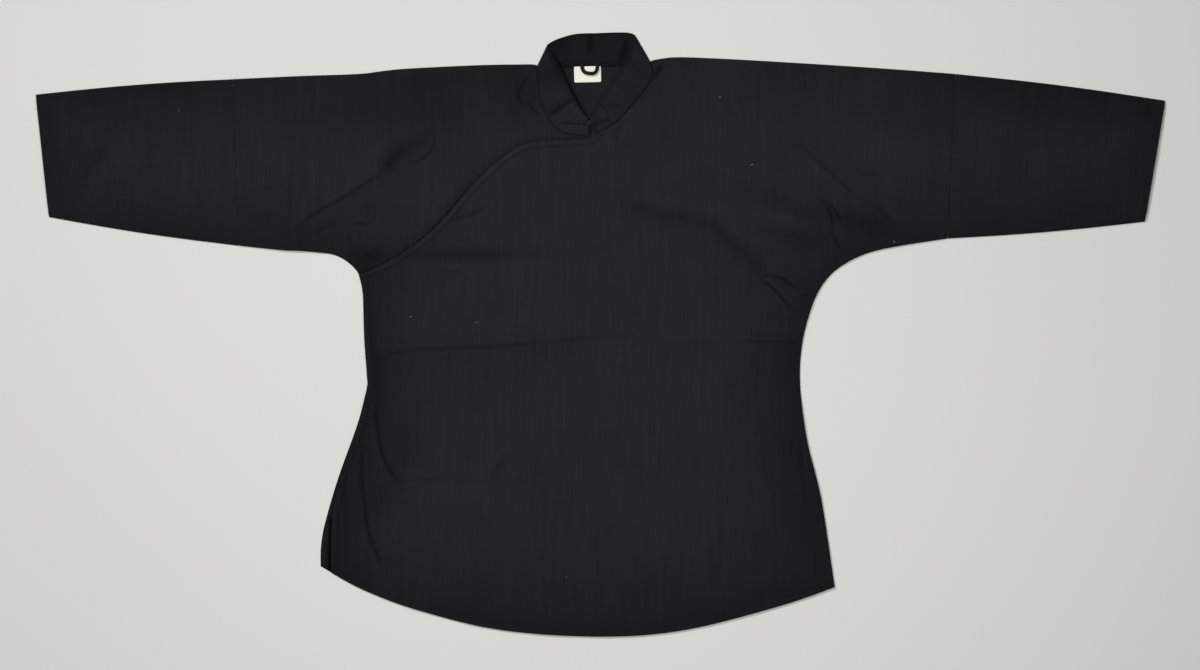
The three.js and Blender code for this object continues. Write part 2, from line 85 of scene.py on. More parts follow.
# Creases of the fronts and sleeves. Each is a groove along a line with a soft lip beside it: name, depth and
# half width of the groove, height and half width of the lip (positive where it lies on the left of the line),
# the share of the line over which each end dies out, and the line.
CREASES = [
    ("right underarm, main", 0.95, 2.8, 0.6, -12, 0.25,
     [(-262, 213), (-274, 200), (-298, 185), (-314, 175), (-337, 162), (-360, 148), (-390, 122)]),
    ("right underarm, upper", 0.65, 2.4, 0.45, -7, 0.35,
     [(-209, 252), (-208, 238), (-219, 222), (-233, 215), (-253, 205)]),
    ("right underarm, pocket", 0.8, 9, 0.4, 12, 0.45, [(-235, 243), (-251, 233), (-263, 219), (-273, 207)]),
    ("right armhole, short", 0.8, 2.6, 0.3, 7, 0.4, [(-331, 139), (-350, 130), (-356, 116)]),
    ("right armhole, upright", 0.8, 3, 0.35, 7, 0.45, [(-316, 138), (-313, 118), (-310, 101)]),
    ("right armhole, level", 0.7, 2.6, 0.25, 8, 0.45, [(-320, 139), (-300, 138), (-281, 139)]),
    ("right underarm, last", 0.4, 3, 0.3, 8, 0.45, [(-296, 104), (-284, 96), (-270, 92)]),
    ("below the closing", 0.95, 3.2, 0.3, -10, 0.4,
     [(-199, 135), (-188, 140), (-173, 146.5), (-160, 149.5), (-148, 155.5), (-132, 159)]),
    ("chest, right", 0.85, 9, 0.3, -18, 0.4, [(-262, 104), (-200, 102), (-130, 100), (-72, 102)]),
    ("chest, right, small", 0.75, 2.4, 0.2, 7, 0.45, [(-196, 80), (-182, 79), (-168, 77)]),
    ("left underarm, long", 0.65, 2.6, 0.35, -11, 0.3,
     [(228, 246), (249, 234), (265, 222), (283, 205), (297, 192), (309, 181), (321, 171), (343, 163)]),
    ("left underarm, long, low", 0.7, 5, 0.4, 10, 0.4, [(338, 165), (354, 152), (368, 132)]),
    ("left armhole, first", 1.0, 2.5, 0.45, 7, 0.3,
     [(268, 174), (281, 163), (289, 144), (290, 130), (297, 111), (309, 98)]),
    ("left armhole, second", 1.1, 2.4, 0.4, 7, 0.35, [(284, 170), (294, 152), (306, 137)]),
    ("left armhole, third", 0.3, 4.6, 0.3, -8, 0.45, [(312, 150), (330, 140), (348, 124)]),
    ("left armhole, fourth", 0.22, 3, 0.2, 8, 0.45, [(296, 140), (318, 128), (338, 118)]),
    ("left armhole, fifth", 0.5, 8, 0.25, 12, 0.45, [(218, 157), (252, 147), (284, 143)]),
    ("left chest, sharp", 1.2, 2.3, 0.4, 7, 0.35, [(194, 76), (202, 67), (215, 58), (228, 44), (243, 25)]),
    ("left chest, branch", 1.0, 2.3, 0.3, 8, 0.35, [(192, 75), (209, 73), (226, 70), (239, 61), (257, 54)]),
    ("left chest, end", 0.7, 2.4, 0.2, 7, 0.45, [(248, 47), (256, 48), (262, 49)]),
    ("left chest, soft", 0.95, 11, 0.3, 22, 0.25,
     [(4, 178), (39, 158), (68, 152), (104, 144), (139, 137), (157, 121), (178, 99), (196, 82), (218, 78)]),
    ("left side, soft", 0.36, 11, 0.3, 17, 0.4, [(170, 140), (216, 130), (258, 118), (286, 108)]),
    ("right waist", 0.66, 3, 0.3, 8, 0.16,
     [(-284, -28), (-272, -26), (-227, -19), (-197, -18), (-114, -14), (-61, -9)]),
    ("middle waist", 0.34, 3, 0.2, 8, 0.3, [(-95, -12), (-61, -9), (-10, -5), (56, -1)]),
    ("left waist, faint", 0.22, 2.8, 0.2, 8, 0.3, [(50, -11), (120, -11), (184, -8)]),
    ("left waist, lower", 0.6, 2.4, 0.25, 8, 0.3, [(164, -6.5), (200, -9), (226, -10), (254, -11)]),
    ("left waist, upper", 0.45, 2.4, 0.2, -8, 0.3, [(180, -1), (212, -2), (242, -3)]),
    ("flap edge, side", 1.1, 2.8, 0.5, -9, 0.3,
     [(-285, -74), (-282, -86), (-278, -118), (-270, -156), (-257, -178), (-241, -200)]),
    ("flap foot", 0.32, 3.4, 0.25, 8, 0.3, [(-255, -184), (-218, -181), (-172, -184), (-135, -184)]),
    ("flap foot, bend", 0.4, 5, 0.25, 10, 0.4, [(-140, -187), (-127, -164), (-104, -147)]),
    ("skirt, right", 1.2, 3, 0.6, -13, 0.25,
     [(-296, -112), (-297, -131), (-298, -172), (-295, -206), (-291, -239), (-284, -263), (-262, -309)]),
    ("skirt, right, outer", 0.2, 6, 0.35, 12, 0.4, [(-310, -120), (-319, -160), (-322, -205), (-316, -250)]),
    ("storage fold, level", 0.16, 6, 0.1, 10, 0.25, [(-92, -125), (0, -126), (110, -127), (222, -124)]),
    ("skirt, left", 0.5, 2.4, 0.35, 11, 0.3, [(252.5, -118), (250.5, -150), (254.5, -190), (260.5, -236)]),
    ("skirt, left, inner", 0.2, 4.4, 0.2, -10, 0.4, [(228, -118), (226, -150), (232, -190)]),
    ("neck, left, upright", 0.5, 2.8, 0.05, 8, 0.35, [(30, 272), (25, 262), (21, 250), (23, 234)]),
    ("neck, left, fold", 1.5, 3, 0.2, 7, 0.3, [(79, 341), (76, 335), (72, 328), (67, 318)]),
    ("right shoulder, neck", 0.8, 2.6, 0.5, -9, 0.3,
     [(-88, 330), (-96, 313), (-103, 301), (-101, 292), (-90, 280)]),
    ("right front, centre", 0.8, 3, 0.2, 7, 0.4, [(-94, 292), (-84, 282), (-74, 270)]),
    ("right sleeve, level", 0.18, 4, 0.25, 10, 0.35, [(-470, 262), (-530, 256), (-600, 258)]),
    ("right sleeve, join", 0.18, 3.4, 0.25, 8, 0.4, [(-446, 176), (-420, 182), (-392, 186)]),
    ("right sleeve, foot", 0.18, 3.4, 0.25, 8, 0.4, [(-500, 136), (-470, 132), (-430, 128)]),
    ("left sleeve, soft", 0.18, 4.4, 0.25, 11, 0.35, [(470, 250), (520, 246), (590, 238)]),
    ("left sleeve, join", 0.18, 3.2, 0.25, 8, 0.4, [(400, 226), (430, 220), (462, 218)]),
    ("left sleeve, foot", 0.2, 3.6, 0.25, 9, 0.4, [(400, 142), (432, 140), (470, 146)]),
]

# Creases of the back, much shallower, because it rests on the table.
BACK_CREASES = [
    ("back, right underarm", 0.2, 3, 0.25, 8, 0.3, [(-250, 210), (-300, 178), (-360, 140)]),
    ("back, left underarm", 0.2, 3, 0.25, -8, 0.3, [(232, 240), (282, 190), (330, 140)]),
    ("back, waist", 0.22, 2.6, 0.25, 7, 0.2, [(-270, -20), (-120, -14), (60, -10), (236, -12)]),
    ("back, skirt", 0.2, 2.8, 0.25, 7, 0.25, [(-200, -122), (-40, -120), (180, -118)]),
    ("back, right side", 0.18, 3, 0.25, -8, 0.3, [(-296, -110), (-304, -170), (-300, -240)]),
    ("back, left side", 0.18, 3, 0.25, 8, 0.3, [(246, -110), (254, -180), (262, -250)]),
    ("back, shoulder", 0.18, 3.5, 0.2, 9, 0.35, [(-150, 250), (-60, 262), (40, 262), (140, 246)]),
]

# Soft patches of painted shade and light, and of faded black or darker nap: name, amount, middle, two radii
# and turn in degrees.
SHADES = [
    ("right underarm, seam", -0.30, (-292, 96), 24, 11, 10),
    ("right underarm, crease end", -0.36, (-263, 214), 9, 7, 40),
    ("right shoulder, smudge", -0.2, (-238, 236), 36, 9, 30),
    ("chest, right", -0.18, (-150, 100), 88, 8, 0),
    ("left underarm, wrinkles", -0.26, (330, 140), 38, 15, -20),
    ("left chest, low", -0.20, (252, 122), 34, 14, -10),
    ("left chest, ridge", 0.12, (238, 145), 24, 4, -5),
    ("left chest, high", -0.17, (236, 163), 72, 14, -14),
    ("right side, strip", -0.16, (-283, -20), 62, 6, 92),
    ("left sleeve, nap and painted shade", -0.09, (610, 230), 200, 120, 0),
    ("left sleeve, foot", 0.08, (440, 138), 70, 16, 2),
    ("right shoulder, nap and painted shade by the neck", -0.1, (-225, 292), 70, 40, 0),
    ("right shoulder, nap and painted shade", -0.12, (-240, 285), 150, 34, 3),
    ("left skirt, nap and painted shade", -0.12, (250, -225), 70, 130, 8),
    ("hem, nap and painted shade", -0.08, (-20, -330), 240, 46, 0),
    ("right underarm, pocket", -0.21, (-254, 217), 48, 12, 36),
    ("right underarm, low", -0.09, (-262, 155), 38, 9, 0),
    ("left chest, low fold", -0.18, (190, 94), 46, 11, -38),
    ("skirt, right", -0.1, (-280, -258), 46, 16, 80),
    ("skirt, right, worn", 0.12, (-182, -215), 42, 26, 0),
    ("left shoulder, worn", 0.08, (180, 345), 90, 14, 0),
    ("right cuff, dark", -0.19, (-630, 218), 46, 12, 57),
    ("right shoulder, top", -0.14, (-190, 322), 110, 16, 3),
    ("flap corner", -0.18, (-268, -190), 60, 14, 60),
    ("right vent", -0.22, (-322, -245), 78, 13, 88),
    ("right shoulder, by the neck", -0.24, (-100, 300), 34, 26, 100),
    ("flap, outer strip", -0.15, (-298, -150), 100, 20, 88),
    ("flap, inner strip", -0.06, (-255, -150), 70, 16, 96),
    ("back of the left vent", -0.05, (235, -150), 90, 26, 92),
    ("chest, right, start", -0.1, (-228, 100), 44, 7, 0),
    ("left cuff, top corner", -0.14, (681, 277), 18, 10, 0),
    ("left skirt, nap and painted shade, low", -0.08, (185, -262), 60, 34, 0),
    ("flap foot, bend", -0.08, (-128, -170), 30, 13, 50),
    ("left shoulder, seam", 0.12, (354, 234), 54, 26, 0),
    ("left sleeve, by the seam", -0.08, (418, 193), 52, 10, 92),
    ("left chest, middle", 0.06, (112, 162), 30, 20, 0),
    ("left front, by the collar", -0.13, (53, 300), 42, 9, 58),
    ("right side, waist", -0.08, (-272, -60), 60, 16, 92),
    ("right side, vent", -0.08, (-300, -240), 60, 12, 88),
    ("waist, middle", -0.05, (-4, -34), 30, 30, 0),
    ("waist, right", -0.05, (-94, -50), 22, 34, 0),
    ("left chest, worn", 0.05, (190, 252), 60, 28, 0),
    ("below the collar", -0.06, (-5, 174), 24, 12, 0),
]
CREASE_SHADE = {"most": 0.6, "depth": 0.46, "fine": 1.8, "lip": 0.13}  # how creases shade the cloth
NECK_SHADE = {"amount": 0.15, "middle": (-5, 310), "across": 62, "along": 48}  # the back, inside the collar
# Painted shade: the cloth is darker towards the shirt's outline. This changes up the shoulders and along the
# arms.
EDGE_SHADE = {"amount": 0.34, "reach": 60, "shoulders": (215, 300), "arms": (260, 560)}
# Painted highlight, partly wear, along the turned edge of the closing, and how dark the painted shade at its
# sewn line and its very edge is.
FACING_SHADE = {"amount": 0.1, "middle": 3.4, "spread": 2, "seam": 0.16, "edge": 0.2}
HEM_SHADE = 0.13  # how dark the painted shade in the hem's sewn line is
SLIT = {"inland": (0, 60), "below": (222, 236), "width": 4.8}  # where the right vent shows the back, with painted shadow in its slit
UNDER_CLOSING = {"edge": 0.36, "wide": 0.1, "open_edge": 0.3, "open_wide": 0.16}  # shade on the right front
# How far the closing edge has settled back from its cut, and over which shares of its length.
CLOSING_EASE = {"most": 1.5, "along": (0.25, 0.5, 0.9, 1)}

# Where the closing edge stands off the right front: share of its length from the neck, height and spread.
CLOSING_LIFTS = [(0.24, 0.5, 0.06), (0.5, 0.65, 0.12), (0.72, 3.2, 0.09), (0.84, 1.6, 0.08)]

# The collar's sections from its right end to its left end: foot and free top edge.
COLLAR = [
    ((-15, 247.8, 2.3), (-16.5, 270, 15)),
    ((-52, 254.5, 2.3), (-27, 284, 16)),
    ((-69, 276, 2.3), (-32.5, 295, 17)),
    ((-77, 305, 2.4), (-43, 316, 13)),
    ((-79, 325, 3), (-54, 343, 8)),
    ((-78, 333.5, 3.9), (-63.5, 356, 5)),
    ((-77.6, 336.6, 2.6), (-65.6, 361.2, 3.2)),
    ((-74, 337, 1.02), (-60.5, 366, 1.02)),
    ((-38, 336.3, 1.02), (-34, 375, 1.02)),
    ((-5, 336.6, 1.02), (-4, 376.6, 1.02)),
    ((30, 338.6, 1.02), (20, 377.4, 1.02)),
    ((56.5, 341.6, 1.02), (36.5, 376.8, 1.02)),
    ((60.6, 341.4, 2.7), (41.9, 374.2, 3)),
    ((62.4, 337.4, 3.9), (42.2, 369, 5.2)),
    ((65.4, 325, 3.1), (38, 356, 9)),
    ((59.4, 311.4, 2.4), (28, 333, 14)),
    ((32.5, 279, 2.5), (6, 300, 17)),
    ((19, 265.6, 3), (-3.5, 285.5, 16.5)),
    ((-8.5, 248.6, 3.7), (-11.5, 270.5, 15)),
]
COLLAR_WALL = 1.9
COLLAR_FOOT = {"reach": 2.6, "lift": 0.42}  # the back of its foot is sewn over the edge of the back
# Tone of the collar's cloth by section, mostly painted light and shade for how each part leans, stands or
# lies.
COLLAR_TONES = [
    (0, 1.26), (0.9, 1.12), (1.6, 1.04), (2.4, 0.84), (3.5, 0.76), (4.4, 0.72), (5.2, 0.68), (6.4, 0.64),
    (7.2, 0.66), (8.2, 0.94), (11, 0.98), (11.8, 0.74), (13, 0.74), (14, 0.82), (15, 0.96), (16, 1.14),
    (17, 1.2), (18, 1.42),
]
COLLAR_SHADOW = {"amount": 0.5, "at": 4.3, "spread": 1.1}  # its top half, where it leans over at the right
COLLAR_LYING = (6.4, 7.1, 11.2, 11.9)  # between these sections the band lies on the table
COLLAR_PRESSED = (6.6, 7.4, 10.6, 11.2)  # and between these its buckles are pressed low
COLLAR_SEAMS = (0.07, 0.9)  # heights of its sewn lines, as shares of the band
COLLAR_SECTIONS = 420
COLLAR_ROWS = 26
COLLAR_HEIGHT = 42
# Buckles of the collar: section, depth along the outer face's normal, half width in sections, how far the
# line slants over the band's height, and the part of the height it covers.
COLLAR_BUCKLES = [
    (1.84, -1.6, 0.15, 0.06, 0.0, 1.0), (1.45, 0.7, 0.2, 0.0, 0.1, 1.0), (2.3, 0.6, 0.22, 0.1, 0.1, 0.9),
    (0.8, -0.7, 0.12, -0.3, 0.2, 0.8), (3.4, -0.45, 0.14, 0.2, 0.3, 1.0), (2.8, -0.3, 0.08, -0.3, 0.0, 0.6),
    (14.6, -0.5, 0.16, -0.3, 0.2, 1.0), (15.4, -0.3, 0.1, 0.2, 0.0, 0.7), (16.2, -0.4, 0.16, 0.4, 0.1, 0.8),
    (16.92, -1.0, 0.11, -0.33, 0.35, 1.0), (17.4, -0.45, 0.1, 0.3, 0.2, 0.9),
    (17.7, -0.5, 0.07, -0.2, 0.4, 1.0), (17.9, -0.4, 0.05, 0.1, 0.0, 0.7),
    (8.7, -1.4, 0.1, 0.05, 0.3, 1.0), (10.2, -1.8, 0.16, 0.9, 0.0, 0.9), (9.6, 0.8, 0.22, -0.1, 0.2, 1.0),
]

# --- Colours and camera -----------------------------------------------------

COTTON = (0.0133, 0.0128, 0.0146)
BRAID = (0.0048, 0.0048, 0.0056)
FROG = (0.0094, 0.0092, 0.0104)  # the fastening's cord, lighter than the loop's
TAPE = (0.95, 0.93, 0.83)
LINT = (0.4, 0.39, 0.38)
TABLE = (0.784, 0.779, 0.752)
CAMERA = {"lens": 100, "sensor": 36, "view": 1500, "aim": (-0.6, -0.6)}  # view is the width of table it shows

# --- Lines and distances in plan --------------------------------------------


def catmull(points, places):
    """The centripetal Catmull-Rom curve through points, at places counted in points."""
    p = np.asarray(points, float)
    p = np.vstack([2 * p[0] - p[1], p, 2 * p[-1] - p[-2]])
    places = np.clip(np.asarray(places, float), 0, len(p) - 3)
    i = np.minimum(places.astype(int), len(p) - 4)
    w = (places - i)[:, None]
    a, b, c, d = p[i], p[i + 1], p[i + 2], p[i + 3]
    ab, bc, cd = (
        np.linalg.norm(y - x, axis=1, keepdims=True) ** 0.5 + 1e-6 for x, y in ((a, b), (b, c), (c, d)))
    leave = ((b - a) / ab - (c - a) / (ab + bc) + (c - b) / bc) * bc
    arrive = ((c - b) / bc - (d - b) / (bc + cd) + (d - c) / cd) * bc
    near = (2 * w**3 - 3 * w**2 + 1) * b + (w**3 - 2 * w**2 + w) * leave
    return near + (3 * w**2 - 2 * w**3) * c + (w**3 - w**2) * arrive


def smooth_line(points, step):
    """Points about step apart on a smooth line through the given ones."""
    p = np.asarray(points, float)
    counts = np.ceil(np.linalg.norm(np.diff(p, axis=0), axis=1) / step).astype(int)
    places = [i + np.arange(n) / n for i, n in enumerate(np.maximum(counts, 1))]
    return catmull(p, np.concatenate([*places, [len(p) - 1]]))


def smoothstep(x, low, high):
    t = np.clip((x - low) / (high - low), 0, 1)
    return t * t * (3 - 2 * t)


def between(x, start, settled, leaving, end):
    """1 between settled and leaving, and softly 0 before start and after end."""
    return smoothstep(x, start, settled) * (1 - smoothstep(x, leaving, end))


def bell(x, width):
    """A soft bump that is 1 at x = 0 and falls away over a width on each side."""
    return np.exp(-((x / width) ** 2))


def unit(vectors):
    return vectors / np.linalg.norm(vectors, axis=-1, keepdims=True)


def left_of(line):
    """Unit vectors to the left of a line, at each of its points."""
    along = np.gradient(line, axis=0)
    return unit(np.stack([-along[:, 1], along[:, 0]], axis=1))


def nearest(points, starts, ends):
    """For each point: its distance to the nearest segment, signed to its left, and where that is."""
    v = ends - starts
    length2 = np.maximum((v**2).sum(1), 1e-9)
    distance, index, share = np.full(len(points), 1e6), np.zeros(len(points), int), np.zeros(len(points))
    side = np.ones(len(points))
    if not len(starts):
        return distance, side, index, share
    chunk = max(1, 3_000_000 // len(starts))
    for k in range(0, len(points), chunk):
        q = points[k : k + chunk, None, :] - starts
        t = np.clip((q * v).sum(2) / length2, 0, 1)
        off = q - t[..., None] * v
        d2 = (off**2).sum(2)
        best = d2.argmin(1)
        rows = np.arange(len(best))
        o, u = off[rows, best], v[best]
        distance[k : k + chunk] = np.sqrt(d2[rows, best])
        side[k : k + chunk] = np.where(u[:, 0] * o[:, 1] - u[:, 1] * o[:, 0] >= 0, 1, -1)
        index[k : k + chunk] = best
        share[k : k + chunk] = t[rows, best]
    return distance, side, index, share


def to_line(points, line):
    """Signed distance of each point to a line, and the share of its length at the nearest place."""
    distance, side, index, share = nearest(points, line[:-1], line[1:])
    lengths = np.linalg.norm(np.diff(line, axis=0), axis=1)
    start = np.concatenate([[0], np.cumsum(lengths)])
    return distance * side, (start[index] + share * lengths[index]) / start[-1]


def from_outline(points, outline):
    """The distance of each point to a closed outline."""
    return nearest(points, outline, np.roll(outline, -1, axis=0))[0]


def is_inside(points, outline):
    inside = np.zeros(len(points), bool)
    x, y = points[:, 0], points[:, 1]
    for (ax, ay), (bx, by) in zip(outline, np.roll(outline, 1, axis=0)):
        if ay != by:
            crosses = (ay > y) != (by > y)
            inside ^= crosses & (x < (bx - ax) * (y - ay) / (by - ay) + ax)
    return inside


def clear_of(points, outline, gap):
    """The points that lie inside an outline and more than a gap from it."""
    points = points[is_inside(points, outline)]
    return points[from_outline(points, outline) > gap]


def signed_area(points):
    x, y = points[:, 0], points[:, 1]
    return 0.5 * (np.dot(x, np.roll(y, -1)) - np.dot(y, np.roll(x, -1)))


# --- What the CAD gives -----------------------------------------------------


def welded(name):
    mesh = bmesh.new()
    mesh.from_mesh(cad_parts[name].data)
    bmesh.ops.remove_doubles(mesh, verts=mesh.verts, dist=1e-6)
    return mesh


def cad_outline(name):
    """The outline of a CAD panel: the largest loop round its upward faces, less points on straight runs."""
    mesh = welded(name)
    ahead = {}
    for face in mesh.faces:
        if face.normal.z > 0.3:
            for loop in face.loops:
                if abs(loop.link_loop_radial_next.face.normal.z) < 0.05:
                    ahead[loop.vert.index] = loop.link_loop_next.vert.index
    places = {v.index: (v.co.x / MM, v.co.y / MM) for v in mesh.verts}
    mesh.free()
    loops = []
    while ahead:
        start, here = ahead.popitem()
        loop = [start]
        while here != start and here in ahead:
            loop.append(here)
            here = ahead.pop(here)
        loops.append(np.array([places[i] for i in loop]))
    points = list(max(loops, key=lambda loop: abs(signed_area(loop))))
    kept = [points[0]]
    for here, after in zip(points[1:], points[2:] + points[:1]):
        chord = after - kept[-1]
        off = abs(chord[0] * (here - kept[-1])[1] - chord[1] * (here - kept[-1])[0]) / np.linalg.norm(chord)
        if off > 0.02:
            kept.append(here)
    return np.array(kept)


def smooth_outline(name, step=RIM_STEP):
    """A CAD panel's outline as smooth edges between its corners: the list of edges, in order."""
    points = cad_outline(name)
    before, after = points - np.roll(points, 1, axis=0), np.roll(points, -1, axis=0) - points
    turn = np.arctan2(before[:, 0] * after[:, 1] - before[:, 1] * after[:, 0], (before * after).sum(1))
    corners = np.flatnonzero(np.abs(turn) > CORNER_ANGLE)
    points = np.roll(points, -corners[0], axis=0)
    cuts = [*(corners - corners[0]), len(points)]
    closed = np.vstack([points, points[:1]])
    return [smooth_line(closed[a : b + 1], step) for a, b in zip(cuts, cuts[1:])]


class Form:
    """The height of a CAD node's upper face over the plan, with its facets softened."""

    PITCH = 6
    BLUR = 1.6

    def __init__(self, name):
        mesh = welded(name)
        tree = BVHTree.FromBMesh(mesh)
        mesh.free()
        low, high = (np.array(corner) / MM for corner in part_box(name))
        self.low = low[:2] - 2 * self.PITCH
        count = np.ceil((high[:2] - self.low) / self.PITCH).astype(int) + 3
        heights = np.zeros((count[1], count[0]))
        known = np.zeros_like(heights)
        for j in range(count[1]):
            for i in range(count[0]):
                x, y = (self.low + self.PITCH * np.array([i, j])) * MM
                hit = tree.ray_cast(Vector((x, y, 1)), Vector((0, 0, -1)))[0]
                if hit:
                    heights[j, i], known[j, i] = hit.z / MM, 1
        kernel = np.exp(-(np.arange(-4, 5) ** 2) / (2 * self.BLUR**2))
        sums = [self.blur(grid, kernel) for grid in (heights, known)]
        self.grid = np.where(sums[1] > 1e-6, sums[0] / np.maximum(sums[1], 1e-6), heights[known > 0].mean())

    @staticmethod
    def blur(grid, kernel):
        for axis in (0, 1):
            grid = np.apply_along_axis(np.convolve, axis, grid, kernel, "same")
        return grid

    def __call__(self, points):
        place = (points - self.low) / self.PITCH
        corner = np.clip(place.astype(int), 0, np.array(self.grid.shape[::-1]) - 2)
        u, v = np.clip(place - corner, 0, 1).T
        i, j = corner.T
        g = self.grid
        lower = g[j, i] * (1 - u) + g[j, i + 1] * u
        upper = g[j + 1, i] * (1 - u) + g[j + 1, i + 1] * u
        return lower * (1 - v) + upper * v


# --- Heights of the cloth ---------------------------------------------------

CREASE_LINES = {}


def crease_line(row):
    if row[0] not in CREASE_LINES:
        CREASE_LINES[row[0]] = smooth_line(row[6], 3)
    return CREASE_LINES[row[0]]


def near_creases(points, table):
    """For each crease: its row, which points are near it, their places beside and along it, and its fade."""
    for row in table:
        _, _, width, _, lip_width, taper, _ = row
        line = crease_line(row)
        reach = 3 * max(width, abs(lip_width))
        close = np.flatnonzero(((points > line.min(0) - reach) & (points < line.max(0) + reach)).all(1))
        if len(close):
            off, share = to_line(points[close], line)
            fade = smoothstep(share, 0, taper) * smoothstep(1 - share, 0, taper)
            yield row, close, off * math.copysign(1, lip_width), share, fade


def creases(points, table):
    """How much the creases of a table raise or lower each point."""
    total = np.zeros(len(points))
    for (_, depth, width, lip, lip_width, _, _), close, off, share, fade in near_creases(points, table):
        waver = 0.8 + 0.2 * np.sin(share * 9 + depth * 40)
        lip_off = off - width
        lip_side = np.where(lip_off > 0, abs(lip_width), width)
        total[close] += fade * waver * (lip * bell(lip_off, lip_side) - depth * bell(off, width))
    return total


def crease_tone(points, table):
    """How much painted shade darkens each point in the creases' grooves, and a painted highlight, partly
    wear, lightens it beside them.
    """
    total = np.ones(len(points))
    for (_, depth, width, lip, lip_width, _, _), close, off, _, fade in near_creases(points, table):
        dark = CREASE_SHADE["depth"] * depth / math.sqrt(max(width / CREASE_SHADE["fine"], 1))
        dark = min(CREASE_SHADE["most"], dark) * bell(off, 0.85 * width)
        light = CREASE_SHADE["lip"] * lip * bell(off - 1.7 * width, 0.5 * abs(lip_width))
        total[close] *= 1 + fade * (light - dark)
    return total


def patches(points):
    """How much darker or lighter the soft patches make each point."""
    total = np.ones(len(points))
    for _, amount, middle, along, across, turn in SHADES:
        c, s = math.cos(math.radians(turn)), math.sin(math.radians(turn))
        x, y = (points - np.array(middle)).T
        total *= 1 + amount * np.exp(-(((x * c + y * s) / along) ** 2 + ((y * c - x * s) / across) ** 2))
    return total


def ripple(points, seed, wavelengths, height, waves=14):
    """A low, uneven waviness from plane waves of several lengths and directions."""
    draw = np.random.default_rng(seed)
    total = np.zeros(len(points))
    for _ in range(waves):
        angle, phase = draw.uniform(0, math.pi), draw.uniform(0, 2 * math.pi)
        length = draw.uniform(*wavelengths)
        along = points @ np.array([math.cos(angle), math.sin(angle)])
        total += np.sin(2 * math.pi * along / length + phase)
    return height * total / math.sqrt(waves)


def turned_down(distance, depth, radius):
    """How far a rounded edge has turned down at a distance from it."""
    x = 1 - np.clip(distance / radius, 0, 1)
    return depth * (1 - np.sqrt(1 - np.minimum(x * x, 1)))


def banded(distance, width, height, groove):
    """A folded edge: a raised band with a sewn line at its inner side."""
    band = height * (1 - smoothstep(distance, width - 0.8, width + 0.8))
    return band - groove * bell(distance - width, 0.8)


def lofted(tied, free, least):
    """How high air lifts the cloth, by its distances to tied and free edges; least is for a free edge."""
    full = least + (1 - least) * smoothstep(free, 0, LOFT["free"])
    return LOFT["height"] * smoothstep(tied, -4, LOFT["reach"]) * full


def relief(points, tied):
    """The creases and waviness of the fronts and sleeves, which die out at tied edges."""
    return smoothstep(tied, 1, 12) * (creases(points, CREASES) + ripple(points, **RIPPLE))


# --- Meshes -----------------------------------------------------------------


def make_object(name, points, faces, material, weave=None, tone=None):
    """A smooth mesh; weave is each point's place on the flat cloth, and tone how light its cloth is, painted
    shade and light included.
    """
    mesh = bpy.data.meshes.new(name)
    mesh.from_pydata((np.asarray(points, float) * MM).tolist(), [], faces)
    mesh.validate()
    mesh.materials.append(material)
    if weave is not None:
        flat = np.column_stack([weave, np.zeros(len(weave))]) * MM
        mesh.attributes.new("weave", "FLOAT_VECTOR", "POINT").data.foreach_set("vector", flat.ravel())
    if tone is not None:
        mesh.attributes.new("tone", "FLOAT", "POINT").data.foreach_set("value", np.clip(tone, 0.1, 2))
    mesh.shade_smooth()
    mesh.set_sharp_from_angle(angle=math.radians(50))
    obj = bpy.data.objects.new(name, mesh)
    bpy.context.scene.collection.objects.link(obj)
    return obj


def lattice(outline, spacing):
    """Points of a triangular lattice inside an outline, clear of its edge."""
    low, high = outline.min(0), outline.max(0)
    rows = np.arange(low[1], high[1], spacing * math.sqrt(3) / 2)
    columns = np.arange(low[0], high[0], spacing)
    grid = np.array([(x + (j % 2) * spacing / 2, y) for j, y in enumerate(rows) for x in columns])
    return clear_of(grid, outline, 0.6 * spacing)


def crease_points(table, outline):
    """Rows of extra points along the creases that cross a panel."""
    rows = []
    for row in table:
        line = crease_line(row)
        rows += [line + left_of(line) * min(row[2], 3) * k for k in (-1.4, -0.7, 0, 0.7, 1.4)]
    return clear_of(np.vstack(rows), outline, 1.2)


def edge_points(edges, insets, outline):
    """Rows of extra points at distances inside some of a panel's edges."""
    rows = [edge + left_of(edge) * inset * side for edge in edges for inset in insets for side in (-1, 1)]
    return clear_of(np.vstack(rows), outline, 0.9 * min(insets))


def boundary_loop(faces):
    """The vertices round a triangulated panel, in order."""
    directed = {(f[i], f[(i + 1) % 3]) for f in faces for i in range(3)}
    ahead = {a: b for a, b in directed if (b, a) not in directed}
    start = next(iter(ahead))
    loop, here = [start], ahead[start]
    while here != start:
        loop.append(here)
        here = ahead[here]
    return loop


def outwards(loop):
    """Unit vectors out of a closed loop that runs anticlockwise."""
    ahead = np.roll(loop, -1, axis=0) - np.roll(loop, 1, axis=0)
    length = np.maximum(np.linalg.norm(ahead, axis=1, keepdims=True), 1e-6)
    return np.stack([ahead[:, 1], -ahead[:, 0]], axis=1) / length


def strip(i, size, base=0):
    """The quads between rings i and i + 1 of a tube that has so many points a ring, numbered from base."""
    a = base + i * size + np.arange(size)
    b = base + i * size + (np.arange(size) + 1) % size
    return np.column_stack([a, b, b + size, a + size])


